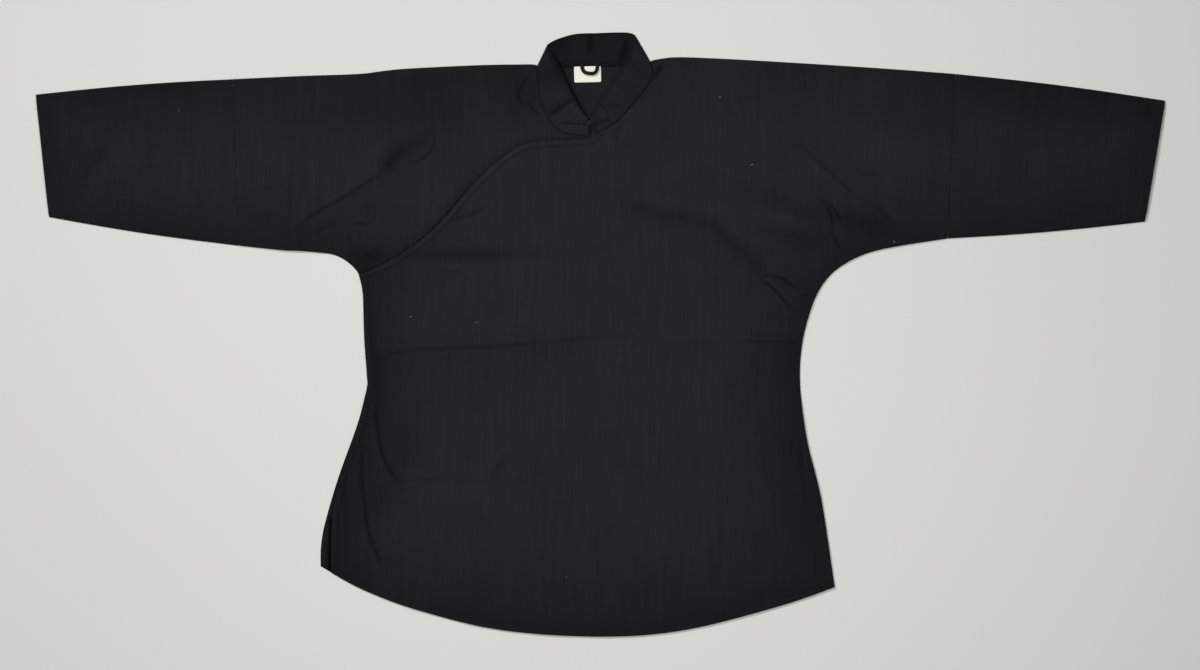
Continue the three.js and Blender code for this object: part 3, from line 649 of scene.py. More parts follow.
def panel(name, edges, height, material, spacing, table=(), wall=WALL, tone=None, bands=()):
    """A piece of cloth with a rounded rim: its outline's edges, and the height and tone of its upper face.

    bands lists edges with the distances inside them where the mesh has extra points.
    """
    outline = np.vstack([edge[:-1] for edge in edges])
    if signed_area(outline) < 0:
        outline = outline[::-1]
    rim = outline - outwards(outline) * wall / 2
    inner = [edge_points(some, insets, rim) for some, insets in bands]
    inner += [crease_points(table, rim)] if table else []
    plan = np.vstack([rim, *inner, lattice(rim, spacing)])
    ring = [(i, (i + 1) % len(rim)) for i in range(len(rim))]
    found = delaunay_2d_cdt([Vector(p) for p in plan.tolist()], ring, [], 1, 1e-4, False)
    plan = np.array([tuple(p) for p in found[0]])
    faces = np.array([f for f in found[2] if len(f) == 3])
    faces = faces[is_inside(plan[faces].mean(1), rim)].tolist()
    top = height(plan)
    layers = [np.column_stack([plan, top]), np.column_stack([plan, top - wall])]
    loop = np.array(boundary_loop(faces))
    out = outwards(plan[loop])
    for angle in np.radians(RIM_ANGLES):
        edge = plan[loop] + out * wall / 2 * math.cos(angle)
        layers.append(np.column_stack([edge, top[loop] - wall / 2 + wall / 2 * math.sin(angle)]))
    points = np.vstack(layers)
    n, count = len(plan), len(loop)
    rings = [loop] + [2 * n + k * count + np.arange(count) for k in range(len(RIM_ANGLES))] + [loop + n]
    solid = faces + [[n + a, n + c, n + b] for a, b, c in faces]
    for above, below in zip(rings, rings[1:]):
        solid += np.column_stack([above, below, np.roll(below, -1), np.roll(above, -1)]).tolist()
    tones = tone(points[:, :2]) if tone else np.ones(len(points))
    return make_object(name, points, solid, material, points[:, :2], tones)


def sweep(name, centres, normals, half_width, half_height, material, sides=10):
    """A bar of oval section along a line of centres, with closed, narrower ends."""
    centres = np.asarray(centres, float)
    forward = unit(np.gradient(centres, axis=0))
    side = unit(np.cross(forward, normals))
    up = np.cross(side, forward)
    girths = np.ones(len(centres))
    girths[[0, -1]] = 0.45
    angles = 2 * math.pi * np.arange(sides) / sides
    rings = [
        centres[i] + np.outer(np.cos(angles) * half_width * girth, side[i])
        + np.outer(np.sin(angles) * half_height * girth, up[i]) for i, girth in enumerate(girths)]
    last = len(centres) - 1
    faces = [quad for i in range(last) for quad in strip(i, sides).tolist()]
    faces.append(list(range(sides))[::-1])
    faces.append([last * sides + k for k in range(sides)])
    return make_object(name, np.vstack(rings), faces, material)


def upward(count):
    return np.tile((0.0, 0.0, 1.0), (count, 1))


def joined(name, objects):
    bpy.ops.object.select_all(action="DESELECT")
    for obj in objects:
        obj.select_set(True)
    bpy.context.view_layer.objects.active = objects[0]
    bpy.ops.object.join()
    objects[0].name = name
    return objects[0]


def outward(obj):
    """Turns every face of a closed piece outwards."""
    mesh = bmesh.new()
    mesh.from_mesh(obj.data)
    bmesh.ops.recalc_face_normals(mesh, faces=mesh.faces)
    mesh.to_mesh(obj.data)
    mesh.free()
    return obj


def stitches(name, line, surface, material):
    """A row of short threads along a line on a surface."""
    step = STITCH["length"] + STITCH["gap"]
    lengths = np.concatenate([[0], np.cumsum(np.linalg.norm(np.diff(line, axis=0), axis=1))])
    starts = np.arange(0.5, lengths[-1] - step, step)
    rows = []
    for along, _, _ in STITCH_PROFILE:
        where = starts + along * STITCH["length"]
        plan = np.column_stack([np.interp(where, lengths, line[:, k]) for k in (0, 1)])
        rows.append(np.column_stack([plan, surface(plan)]))
    angles = 2 * math.pi * np.arange(STITCH["sides"]) / STITCH["sides"]
    points, faces = [], []
    for s in range(len(starts)):
        forward = unit(rows[-1][s, :2] - rows[0][s, :2])
        side = np.array([-forward[1], forward[0], 0])
        base = len(points)
        for (_, girth, lift), row in zip(STITCH_PROFILE, rows):
            centre = row[s] + np.array([0, 0, lift * STITCH["radius"]])
            radius = STITCH["radius"] * girth
            for angle in angles:
                up = np.array([0, 0, radius * math.sin(angle)])
                points.append(centre + side * radius * math.cos(angle) + up)
        last = len(STITCH_PROFILE) - 1
        faces += [quad for i in range(last) for quad in strip(i, STITCH["sides"], base).tolist()]
        faces.append([base + k for k in reversed(range(STITCH["sides"]))])
        faces.append([base + last * STITCH["sides"] + k for k in range(STITCH["sides"])])
    return outward(make_object(name, points, faces, material))


# --- Materials --------------------------------------------------------------


class Nodes:
    """A short way to build a material's nodes."""

    def __init__(self, name):
        self.material = bpy.data.materials.new(name)
        self.material.use_nodes = True
        self.tree = self.material.node_tree
        self.shader = self.tree.nodes["Principled BSDF"]

    def put(self, socket, value):
        if isinstance(value, bpy.types.NodeSocket):
            self.tree.links.new(value, socket)
        else:
            socket.default_value = value

    def add(self, kind, inputs=None, **settings):
        node = self.tree.nodes.new(kind)
        for key, value in settings.items():
            setattr(node, key, value)
        for key, value in (inputs or {}).items():
            self.put(node.inputs[key], value)
        return node

    def math(self, operation, a, b=0.0):
        return self.add("ShaderNodeMath", {0: a, 1: b}, operation=operation).outputs[0]

    def noise(self, vector, scale, detail=2.0, roughness=0.5):
        inputs = {"Vector": vector, "Scale": scale, "Detail": detail, "Roughness": roughness}
        return self.add("ShaderNodeTexNoise", inputs).outputs["Fac"]

    def stretched(self, vector, scale):
        return self.add("ShaderNodeVectorMath", {0: vector, 1: scale}, operation="MULTIPLY").outputs[0]

    def scaled(self, colour, factor):
        return self.add("ShaderNodeVectorMath", {0: colour, "Scale": factor}, operation="SCALE").outputs[0]

    def spread(self, value, low, high, to_low, to_high):
        inputs = {"Value": value, "From Min": low, "From Max": high, "To Min": to_low, "To Max": to_high}
        return self.add("ShaderNodeMapRange", inputs).outputs["Result"]

    def mix(self, factor, a, b):
        inputs = {"Factor": factor, 6: a, 7: b}
        return self.add("ShaderNodeMix", inputs, data_type="RGBA").outputs[2]

    def attribute(self, name, kind):
        return self.add("ShaderNodeAttribute", attribute_name=name).outputs[kind]

    def set(self, **values):
        for key, value in values.items():
            self.put(self.shader.inputs[key.replace("_", " ")], value)

    def bump(self, height, distance, strength):
        inputs = {"Height": height, "Distance": distance, "Strength": strength}
        self.set(Normal=self.add("ShaderNodeBump", inputs).outputs["Normal"])


def rgba(colour, factor=1.0):
    return (*(c * factor for c in colour), 1.0)


def woven(n, vector, pitch):
    """Threads of a plain weave, from 0 in the gaps to 1 on the crowns."""
    axes = n.add("ShaderNodeSeparateXYZ", {0: vector}).outputs
    waves = [n.math("SINE", n.math("MULTIPLY", axes[k], 2 * math.pi / pitch)) for k in (0, 1)]
    return n.spread(n.math("MULTIPLY", *waves), -1, 1, 0, 1)


def cotton(name, colour, slub=1.0):
    """Black plain-woven cotton with upright slubs, faded patches and pale flecks; its tone attribute carries
    the painted shade and light, and scales its specular and sheen.
    """
    n = Nodes(name)
    vector, shade = n.attribute("weave", "Vector"), n.attribute("tone", "Fac")
    warp = n.noise(n.stretched(vector, (900, 22, 1)), 1.0, 2.5, 0.55)
    slubs = n.noise(n.stretched(vector, (150, 8, 1)), 1.0, 2.0, 0.6)
    weft = n.noise(n.stretched(vector, (14, 700, 1)), 1.0, 1.5, 0.5)
    faded = n.noise(vector, 10, 5.0, 0.65)
    threads = woven(n, vector, 0.00052)
    tone = shade
    for value, low, high, to_low, to_high in (
        (warp, 0.25, 0.75, 1 - 0.07 * slub, 1 + 0.07 * slub),
        (slubs, 0.3, 0.75, 1 - 0.12 * slub, 1 + 0.13 * slub),
        (weft, 0.25, 0.75, 0.95, 1.05),
        (faded, 0.3, 0.7, 0.87, 1.13),
        (threads, 0, 1, 0.85, 1.1),
    ):
        tone = n.math("MULTIPLY", tone, n.spread(value, low, high, to_low, to_high))
    cells = {"Vector": n.stretched(vector, (1, 0.45, 1)), "Scale": 48}
    fleck = n.math("LESS_THAN", n.add("ShaderNodeTexVoronoi", cells).outputs["Distance"], 0.022)
    rare = n.math("GREATER_THAN", n.noise(vector, 31, 1.0), 0.6)
    n.set(
        Base_Color=n.mix(n.math("MULTIPLY", fleck, rare), n.scaled(colour, tone), rgba((0.12, 0.12, 0.125))),
        Roughness=n.spread(warp, 0.2, 0.8, 0.95, 0.82),
        Specular_IOR_Level=n.math("MULTIPLY", shade, 0.2),
        Sheen_Weight=n.math("MULTIPLY", shade, 0.07),
        Sheen_Roughness=0.55,
        Sheen_Tint=rgba((0.75, 0.76, 0.85)),
    )
    height = n.math("ADD", n.math("MULTIPLY", warp, 0.5), n.math("MULTIPLY", slubs, 0.7))
    n.bump(n.math("ADD", height, n.math("MULTIPLY", threads, 0.45)), 0.00016, 0.55)
    return n.material


def cord_cloth(name, colour):
    """Cord covered in bias-cut cotton."""
    n = Nodes(name)
    vector = n.add("ShaderNodeTexCoord").outputs["Object"]
    ribs = n.noise(n.stretched(vector, (1500, 1500, 900)), 1.0)
    base = n.mix(ribs, rgba(colour, 0.7), rgba(colour, 1.6))
    n.set(Base_Color=base, Roughness=0.8, Specular_IOR_Level=0.2, Sheen_Weight=0.06, Sheen_Roughness=0.5)
    n.bump(ribs, 0.0002, 0.5)
    return n.material


def tape_cloth(name, colour):
    """Smooth woven tape."""
    n = Nodes(name)
    vector = n.attribute("weave", "Vector")
    wear = n.noise(vector, 120, 3.0, 0.6)
    base = n.mix(n.spread(wear, 0.45, 0.75, 0, 0.5), rgba(colour), rgba(colour, 0.82))
    n.set(Base_Color=base, Roughness=0.6, Specular_IOR_Level=0.4, Sheen_Weight=0.2, Sheen_Roughness=0.4)
    n.bump(woven(n, vector, 0.0007), 0.00012, 0.5)
    return n.material


def thread(name, colour, roughness=0.8):
    n = Nodes(name)
    vector = n.add("ShaderNodeTexCoord").outputs["Object"]
    ply = n.noise(n.stretched(vector, (2600, 2600, 2600)), 1.0, 1.0)
    base = n.mix(ply, rgba(colour, 0.7), rgba(colour, 1.3))
    n.set(Base_Color=base, Roughness=roughness, Specular_IOR_Level=0.2)
    n.bump(ply, 0.0001, 0.4)
    return n.material


def table_top(name, colour):
    n = Nodes(name)
    vector = n.add("ShaderNodeTexCoord").outputs["Object"]
    grain = n.spread(n.noise(vector, 260, 3.0, 0.6), 0.3, 0.7, 0.993, 1.007)
    cloud = n.spread(n.noise(vector, 1.1), 0.3, 0.7, 0.99, 1.01)
    base = n.scaled(colour, n.math("MULTIPLY", grain, cloud))
    n.set(Base_Color=base, Roughness=0.85, Specular_IOR_Level=0.2)
    return n.material


MATERIAL = {
    "cotton": cotton("black cotton", COTTON),
    "collar": cotton("black cotton, collar", COTTON, slub=0.7),
    "braid": cord_cloth("black bias cord", BRAID),
    "frog": cord_cloth("black bias cord, lighter", FROG),
    "tape": tape_cloth("cream tape", TAPE),
    "thread": thread("black thread", (0.008, 0.008, 0.009)),
    "lint": thread("lint", LINT, 0.9),
}

# --- The panels -------------------------------------------------------------


def collar_edge(kind, places):
    return catmull([section[kind] for section in COLLAR], places)


NECK_LINE = collar_edge(0, np.linspace(0, len(COLLAR) - 1, 200))[:, :2]
back_edges = smooth_outline("back")
BACK_EDGE = np.vstack([edge[:-1] for edge in back_edges])
# Where the seams between the pieces lie: strips across the sleeves, and the neck.
JOIN_STRIPS = ((-461, -450), (433, 445))
NECK_ZONE = {"half_width": 78, "foot": 330, "top": 338}
RIGHT_JOIN = -451
LEFT_JOIN = {"at": (434, 120), "rise": 20.55, "top": 326}  # rise is the height over which it moves 1 mm out


def silhouette():
    """The segments of the shirt's outline, without the neck and the seams between its pieces."""
    kept = []
    for name in ("back", "right_sleeve_end", "left_sleeve_end"):
        for edge in smooth_outline(name, step=12):
            for a, b in zip(edge[:-1], edge[1:]):
                x, y = (a + b) / 2
                upright = abs(a[0] - b[0]) < abs(a[1] - b[1])
                at_join = upright and any(low < x < high for low, high in JOIN_STRIPS)
                if not at_join and not (abs(x) < NECK_ZONE["half_width"] and y > NECK_ZONE["foot"]):
                    kept.append((a, b))
    return np.array(kept).transpose(1, 0, 2)


SILHOUETTE = silhouette()


def edge_shade(points):
    """How much painted shade darkens the cloth towards the outline, less so along the shoulders and more at
    the cuffs.
    """
    distance = nearest(points, *SILHOUETTE)[0]
    shoulder = smoothstep(points[:, 1], *EDGE_SHADE["shoulders"])
    arm = smoothstep(np.abs(points[:, 0]), *EDGE_SHADE["arms"])
    amount = EDGE_SHADE["amount"] * (1 - shoulder * (0.4 - 0.6 * arm))
    return 1 - amount * np.exp(-((distance / EDGE_SHADE["reach"]) ** 1.3))


# The fronts' and sleeves' tone: the patches, painted shade towards the outline, and the creases' painted
# shade and highlight.
def cloth_tone(points):
    return patches(points) * edge_shade(points) * crease_tone(points, CREASES)


def kind_of(middle):
    """What happens at a piece of a front's edge, by its middle."""
    x, y = middle
    vent = VENT_TOP["right" if x < 0 else "left"]
    if nearest(middle[None], NECK_LINE[:-1], NECK_LINE[1:])[0][0] < 4 and y < NECK_ZONE["top"]:
        return "neck"
    if y < vent:
        return "hem"
    if from_outline(middle[None], BACK_EDGE)[0] > 1.2:
        return "closing"
    left_join = LEFT_JOIN["at"][0] + (y - LEFT_JOIN["at"][1]) / LEFT_JOIN["rise"]
    if x < RIGHT_JOIN or x > JOIN_STRIPS[1][0] and y < LEFT_JOIN["top"] and abs(x - left_join) < 1.5:
        return "join"
    return "fold"


def edges_by_kind(edges):
    """The segments of a panel's outline, grouped by what happens there."""
    groups = {}
    for edge in edges:
        for a, b in zip(edge[:-1], edge[1:]):
            groups.setdefault(kind_of((a + b) / 2), []).append((a, b))
    return {kind: (np.array([a for a, _ in s]), np.array([b for _, b in s])) for kind, s in groups.items()}


def front_surface(name, edges):
    """The height of a front's upper face over the plan."""
    form, groups = Form(name), edges_by_kind(edges)
    empty = (np.zeros((0, 2)), np.zeros((0, 2)))
    kinds = ("fold", "join", "neck", "hem", "closing")

    def height(points):
        gap = {kind: nearest(points, *groups.get(kind, empty))[0] for kind in kinds}
        tied = np.minimum(gap["fold"], gap["neck"])
        z = form(points) + lofted(tied, np.minimum(gap["hem"], gap["closing"]), 0.35) + relief(points, tied)
        for kind, shape in (("fold", FOLD_EDGE), ("join", JOIN_EDGE), ("neck", NECK_EDGE)):
            z -= turned_down(gap[kind], **shape)
        z += banded(gap["hem"], **HEM)
        return np.maximum(z, BACK_FLOOR + 2 * WALL + LAYER_GAP + 0.35 * smoothstep(tied, 4, 12))

    return height


def standing_for(obj, node):
    """Puts a finished piece in place of its CAD node."""
    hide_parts(node)
    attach(obj, "root")
    return obj


def back_height(points):
    inland = smoothstep(from_outline(points, BACK_EDGE), 2, 14)
    lift = creases(points, BACK_CREASES) + ripple(points, **BACK_RIPPLE)
    return BACK_FLOOR + WALL + inland * np.clip(lift + 0.1, 0, 0.35)


outer_edges = smooth_outline("outer_front")
outer_hems = [e for e in outer_edges if kind_of(e[len(e) // 2]) == "hem"]
OUTER_HEM = (np.vstack([e[:-1] for e in outer_hems]), np.vstack([e[1:] for e in outer_hems]))


def back_tone(points):
    """Painted shadow darkens the back inside the collar, along the outer front's hem and in the slit of the
    right vent.
    """
    x, y = (points - np.array(NECK_SHADE["middle"])).T
    inside = np.exp(-((x / NECK_SHADE["across"]) ** 4 + (y / NECK_SHADE["along"]) ** 4))
    gap = nearest(points, *OUTER_HEM)[0]
    open_part = smoothstep(-points[:, 0], *SLIT["inland"]) * smoothstep(-points[:, 1], *SLIT["below"])
    slit = (1 - 0.4 * bell(gap, 2.2)) * (1 - 0.85 * open_part * np.exp(-((gap / SLIT["width"]) ** 4)))
    return edge_shade(points) * (1 - NECK_SHADE["amount"] * inside) * slit


def cloth_panel(node, edges, height, table, tone, bands=()):
    """The cloth of a CAD panel, in its place."""
    made = panel(
        f"{node}_cloth", edges, height, MATERIAL["cotton"], SPACING[node], table, tone=tone, bands=bands)
    return standing_for(made, node)


back = cloth_panel("back", back_edges, back_height, BACK_CREASES, back_tone, [(back_edges, (2, 4, 6))])
under_flap = cloth_panel("under_flap", smooth_outline("under_flap"), Form("under_flap"), (), edge_shade)

outer_plain = front_surface("outer_front", outer_edges)


def eased_edge(edge):
    """The closing edge from the neck down, which settles a little back from its cut in its lower half."""
    line = edge if edge[0, 0] > edge[-1, 0] else edge[::-1]
    share = to_line(line, line)[1]
    return line + CLOSING_EASE["most"] * between(share, *CLOSING_EASE["along"])[:, None] * left_of(line)


closing_index = next(
    i for i, e in enumerate(outer_edges)
    if np.linalg.norm(e[0] - e[-1]) > 250 and kind_of(e[len(e) // 2]) == "closing")
cut_edge = outer_edges[closing_index]
closing_edge = eased_edge(cut_edge)
outer_edges[closing_index] = closing_edge if cut_edge[0, 0] > cut_edge[-1, 0] else closing_edge[::-1]
closing_edge = closing_edge[nearest(closing_edge, NECK_LINE[:-1], NECK_LINE[1:])[0] > 2.5]


def outer_surface(points):
    """The outer front's upper face, with the turned edge of the closing and where it stands off."""
    off, share = to_line(points, closing_edge)
    off = np.abs(off)
    lift = 0.25 + sum(h * bell(share - at, spread) for at, h, spread in CLOSING_LIFTS)
    lift *= bell(off, 13) * smoothstep(1 - share, 0.0, 0.1)
    return outer_plain(points) + (banded(off, **FACING) + lift) * smoothstep(share, 0, 0.04)


def outer_tone(points):
    """The outer front has a painted highlight, partly wear, along the closing, and painted shade at its sewn
    lines and its very edge.
    """
    off, share = to_line(points, closing_edge)
    off = np.abs(off)
    uneven = (1 + 0.6 * ripple(points, 23, (16, 60), 1)) * smoothstep(share, 0, 0.04)
    # painted highlight, partly wear, on the turned edge, and painted shade in its sewn line
    worn = 1 + FACING_SHADE["amount"] * uneven * bell(off - FACING_SHADE["middle"], FACING_SHADE["spread"])
    worn -= FACING_SHADE["seam"] * uneven * bell(off - FACING["width"], 1.2)
    sewn_line = 1 - HEM_SHADE * bell(nearest(points, *OUTER_HEM)[0] - HEM["width"], 1.1)
    return cloth_tone(points) * worn * sewn_line * (1 - FACING_SHADE["edge"] * bell(off, 0.9))


def right_tone(points):
    """Painted shade darkens the right front under the closing, most where that stands open."""
    off, share = to_line(points, closing_edge)
    open_part = bell(share - CLOSING_LIFTS[2][0], 0.12)
    edge = (UNDER_CLOSING["edge"] + UNDER_CLOSING["open_edge"] * open_part) * bell(off, 1.9)
    wide = (UNDER_CLOSING["wide"] + UNDER_CLOSING["open_wide"] * open_part) * bell(off, 9)
    return cloth_tone(points) * (1 - edge - wide)


right_edges = smooth_outline("right_front")
right_front = cloth_panel(
    "right_front", right_edges, front_surface("right_front", right_edges), CREASES, right_tone)
outer_front = cloth_panel(
    "outer_front", outer_edges, outer_surface, CREASES, outer_tone,
    [([closing_edge], FACING_ROWS), (outer_hems, HEM_ROWS)])

# --- The sleeve ends --------------------------------------------------------


def sleeve_ring(top, foot, u, form, depth):
    """The points round one section of a sleeve end, at a depth inside its cloth; u is 1 at the cuff."""
    width = np.linalg.norm(top - foot)
    share = np.linspace(0, 1, SLEEVE["across"] + 1)
    share = depth / width + (share - 0.04 * np.sin(2 * math.pi * share)) * (1 - 2 * depth / width)
    plan = top + share[:, None] * (foot - top)
    gap = np.minimum(share, 1 - share) * width
    join_gap, cuff_gap = u * SLEEVE["length"], (1 - u) * SLEEVE["length"]
    z = form(plan) + lofted(gap, cuff_gap, 0.5) + relief(plan, gap)
    z -= turned_down(join_gap, **JOIN_EDGE)
    z += banded(cuff_gap, **CUFF_HEM) + 0.8 * bell(cuff_gap, 30) * smoothstep(gap, 1, 12)
    z = np.maximum(z, BACK_FLOOR + 2 * WALL + LAYER_GAP)
    middle = BACK_FLOOR + WALL + 0.4
    turned = 1 - np.clip((gap - depth) / FOLD_EDGE["radius"], 0, 1)
    roll = np.sqrt(np.clip(1 - turned**2, 0, 1))
    under = BACK_FLOOR + depth + 0.08 * (1 + np.sin(plan[:, 0] / 23 + plan[:, 1] / 31))
    front = np.column_stack([plan, middle + (z - depth - middle) * roll])
    behind = np.column_stack([plan, middle + (under - middle) * roll])
    return np.vstack([front, behind[::-1][1:-1]])


def sleeve_end(side):
    """A flattened tube of cloth, open at both ends, over its CAD node; also its cuff and its outline."""
    node = f"{side}_sleeve_end"
    edges = smooth_outline(node, step=3.2)
    upright = [e for e in edges if abs(e[0, 1] - e[-1, 1]) > 100]
    level = [e for e in edges if abs(e[0, 1] - e[-1, 1]) <= 100]
    cuff = max(upright, key=lambda e: abs(e[:, 0].mean()))
    u = np.linspace(0, 1, SLEEVE["sections"] + 1) ** 0.8
    rails = []
    for e in sorted(level, key=lambda e: -e[:, 1].mean()):
        e = e if abs(e[0, 0]) < abs(e[-1, 0]) else e[::-1]
        rails.append(np.column_stack([np.interp(u, np.linspace(0, 1, len(e)), e[:, k]) for k in (0, 1)]))
    top, foot = rails
    form = Form(node)
    outer, inner = (
        np.array([sleeve_ring(*section, form, depth) for section in zip(top, foot, u)])
        for depth in (0.0, WALL))
    size = outer.shape[1]
    count = len(u) * size
    faces = []
    for i in range(len(u) - 1):
        faces += strip(i, size).tolist() + strip(i, size, count)[:, [0, 3, 2, 1]].tolist()
    for i in (0, len(u) - 1):
        a, b = strip(i, size).T[:2]
        cap = np.column_stack([a, a + count, b + count, b])
        faces += (cap if i == 0 else cap[:, ::-1]).tolist()
    points = np.vstack([outer.reshape(-1, 3), inner.reshape(-1, 3)])
    plan = points[:, :2]
    tube = make_object(f"{side}_sleeve_cloth", points, faces, MATERIAL["cotton"], plan, cloth_tone(plan))
    return standing_for(outward(tube), node), cuff, np.vstack([top, foot[::-1]])


right_sleeve, right_cuff, right_outline = sleeve_end("right")
left_sleeve, left_cuff, left_outline = sleeve_end("left")

# --- The collar -------------------------------------------------------------


def collar_surface(places, ups):
    """Points of the collar's middle layer and its outward normals, over a grid of sections and heights."""
    foot, top = collar_edge(0, places), collar_edge(1, places)
    grid = foot[:, None] + ups[None, :, None] * (top - foot)[:, None]
    grid[..., 2] = np.maximum(grid[..., 2], COLLAR_WALL / 2)
    rise = np.repeat((top - foot)[:, None], len(ups), axis=1)
    return grid, unit(np.cross(rise, np.gradient(grid, axis=0)))


def buckle(s, v, row):
    """The share of a buckle's depth at sections s and heights v of the collar."""
    at, _, width, slant, low, high = row
    ends = between(v, low - 0.05, low + 0.25, high - 0.2, high + 0.1)
    return np.exp(-(((s - at - slant * (v - 0.5)) / width) ** 2)) * ends


def collar_relief(places, ups):
    """How far the outer face stands out or in at each point of the grid, with buckles and sewn lines."""
    s, v = places[:, None], ups[None, :]
    total = np.zeros((len(places), len(ups)))
    for row in COLLAR_BUCKLES:
        total += row[1] * buckle(s, v, row)
    total *= 1 - 0.75 * between(s, *COLLAR_PRESSED)
    for height in COLLAR_SEAMS:
        total = total - 0.16 * bell(v - height, 0.018)
    return total


def collar_tone(places, heights, lying):
    """How light the collar's cloth is: painted light and shade by section and where it lies, painted shade in
    sunken buckles, at sewn lines, along its edges and under its leaning top, painted light on raised buckles,
    and a faint mottle.
    """
    s = places[:, None]
    tone = np.interp(places, *zip(*COLLAR_TONES))[:, None] * (0.9 - 0.28 * lying[:, None]) + 0 * heights
    for row in COLLAR_BUCKLES:
        tone *= 1 - (0.26 if row[1] < 0 else -0.08) * abs(row[1]) * buckle(s, heights, row)
    for height in COLLAR_SEAMS:
        tone *= 1 - 0.2 * bell(heights - height, 0.02)
    tone *= 1 - 0.35 * bell(heights, 0.03) - 0.4 * smoothstep(heights, 0.92, 0.99)
    shadow = COLLAR_SHADOW["amount"] * bell(s - COLLAR_SHADOW["at"], COLLAR_SHADOW["spread"])
    tone *= 1 - shadow * smoothstep(heights, 0.62, 0.95)
    mottle = ripple(np.column_stack([places * 20, places * 0]), 19, (14, 60), 0.07)
    return tone * (1 + mottle[:, None])


def collar():
    """The stand-up collar: one band of stiff cloth, from its right end round the neck to its left end."""
    places = np.linspace(0, len(COLLAR) - 1, COLLAR_SECTIONS)
    ups = np.linspace(0, 1, COLLAR_ROWS)
    ups = ups - 0.06 * np.sin(2 * math.pi * ups)
    grid, normal = collar_surface(places, ups)
    lying = between(places, *COLLAR_LYING)
    foot = lying[:, None] * (1 - smoothstep(ups, 0.0, 0.09))
    grid = grid + foot[..., None] * COLLAR_FOOT["reach"] * unit(grid[:, :1] - grid[:, -1:])
    grid[..., 2] = np.maximum(grid[..., 2], COLLAR_WALL / 2) + foot * COLLAR_FOOT["lift"]
    raised = collar_relief(places, ups)[..., None]
    half = COLLAR_WALL / 2 * np.sqrt(np.clip(1 - (2 * ups - 1) ** 40, 0.08, 1))[None, :, None]
    half = half * (1 - 0.5 * foot[..., None])
    outer = grid + normal * (half + raised)
    inner = grid - normal * (half - raised)
    for face in (outer, inner):
        face[..., 2] = np.maximum(face[..., 2], 0.03)
    rings = np.concatenate([outer, inner[:, ::-1]], axis=1)
    size = rings.shape[1]
    faces = [quad for i in range(COLLAR_SECTIONS - 1) for quad in strip(i, size).tolist()]
    for i in (0, COLLAR_SECTIONS - 1):
        for k in range(COLLAR_ROWS - 1):
            quad = [i * size + k, i * size + k + 1, i * size + size - 2 - k, i * size + size - 1 - k]
            faces.append(quad if i == 0 else quad[::-1])
    length = np.concatenate([[0], np.cumsum(np.linalg.norm(np.diff(grid[:, 0], axis=0), axis=1))])
    heights = np.concatenate([ups, ups[::-1]])[None]
    weave = np.stack(np.broadcast_arrays(length[:, None], heights * COLLAR_HEIGHT), axis=-1).reshape(-1, 2)
    tone = collar_tone(places, heights, lying).ravel()
    return outward(make_object("collar_cloth", rings.reshape(-1, 3), faces, MATERIAL["collar"], weave, tone))


collar_band = standing_for(collar(), "collar_band")

# --- The neck fastening, loop and label -------------------------------------

STRAPS = {
    "frog_knot_strap": {"along": (0.006, 0.075), "up": (0.76, 0.3)},
    "frog_loop_strap": {"along": (0.997, 0.95), "up": (0.76, 0.38)},
}
FROG_CORD = 1.25  # radius of the cord of the fastening


def strap_line(strap, steps=26):
    """Places on the collar's outer face along a strap, with the normals there."""
    t = np.linspace(0, 1, steps)
    (start, end), (low, high) = strap["along"], strap["up"]
    points, normals = [], []
    for s, v in zip((start + t * (end - start)) * (len(COLLAR) - 1), low + t * (high - low)):
        nearby = np.array([s - 0.02, s, s + 0.02])
        grid, normal = collar_surface(nearby, np.array([v]))
        stands = COLLAR_WALL / 2 + collar_relief(nearby, np.array([v]))[1, 0]
        points.append(grid[1, 0] + normal[1, 0] * stands)
        normals.append(normal[1, 0])
    return np.array(points), np.array(normals)


for node, strap in STRAPS.items():
    line, normals = strap_line(strap)
    across = np.cross(unit(np.gradient(line, axis=0)), normals)
    cords = []
    for k in (-1, 1):
        centres = line + normals * FROG_CORD * 0.9 + across * k * FROG_CORD * 1.02
        cords.append(sweep(f"{node}_cord_{k}", centres, normals, FROG_CORD, FROG_CORD, MATERIAL["frog"], 12))
    standing_for(joined(f"{node}_cords", cords), node)


def knot():
    """A small ball knot: three rings of cord, one round each axis."""
    low, high = (np.array(c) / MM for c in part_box("frog_knot"))
    centre, radius = (low + high) / 2, (high - low).min() / 2
    turns = np.linspace(0, 2 * math.pi, 41)
    parts = []
    for axis, tilt in ((0, 0.35), (1, -0.3), (2, 0.2)):
        ring = np.zeros((len(turns), 3))
        ring[:, (axis + 1) % 3] = np.cos(turns)
        ring[:, (axis + 2) % 3] = np.sin(turns)
        ring[:, axis] = tilt * np.sin(2 * turns)
        line = centre + unit(ring) * radius * 0.66
        parts.append(sweep(f"knot_{axis}", line, unit(ring), radius * 0.36, radius * 0.34, MATERIAL["frog"]))
    return joined("frog_knot_cords", parts)


standing_for(knot(), "frog_knot")

LOOP_LINE = [
    (-23, 338.4), (-22.8, 332.6), (-20.2, 328), (-14.5, 326.2), (-8, 326.4), (-4.8, 329.8), (-3.6, 338.8)]
LABEL = {"width": 33.6, "height": 19.9, "corner": 1.7, "middle": (-16.1, 325.1), "turn": 0.025}
LOOP_CORD = {"half_width": 2.25, "half_height": 1.1}


def loop_cord():
    """The hanging loop: a flat cord, whose ends dip to their seam."""
    low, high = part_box("hanging_loop")
    height = (low[2] + high[2]) / 2 / MM
    line = smooth_line([(x, y, height) for x, y in LOOP_LINE], 0.8)
    share = np.linspace(0, 1, len(line))
    line[:, 2] += 0.4 * np.sin(share * math.pi) - 1.9 * (2 * share - 1) ** 10
    return sweep(
        "hanging_loop_cord", line, upward(len(line)), **LOOP_CORD, material=MATERIAL["braid"], sides=14)


standing_for(loop_cord(), "hanging_loop")


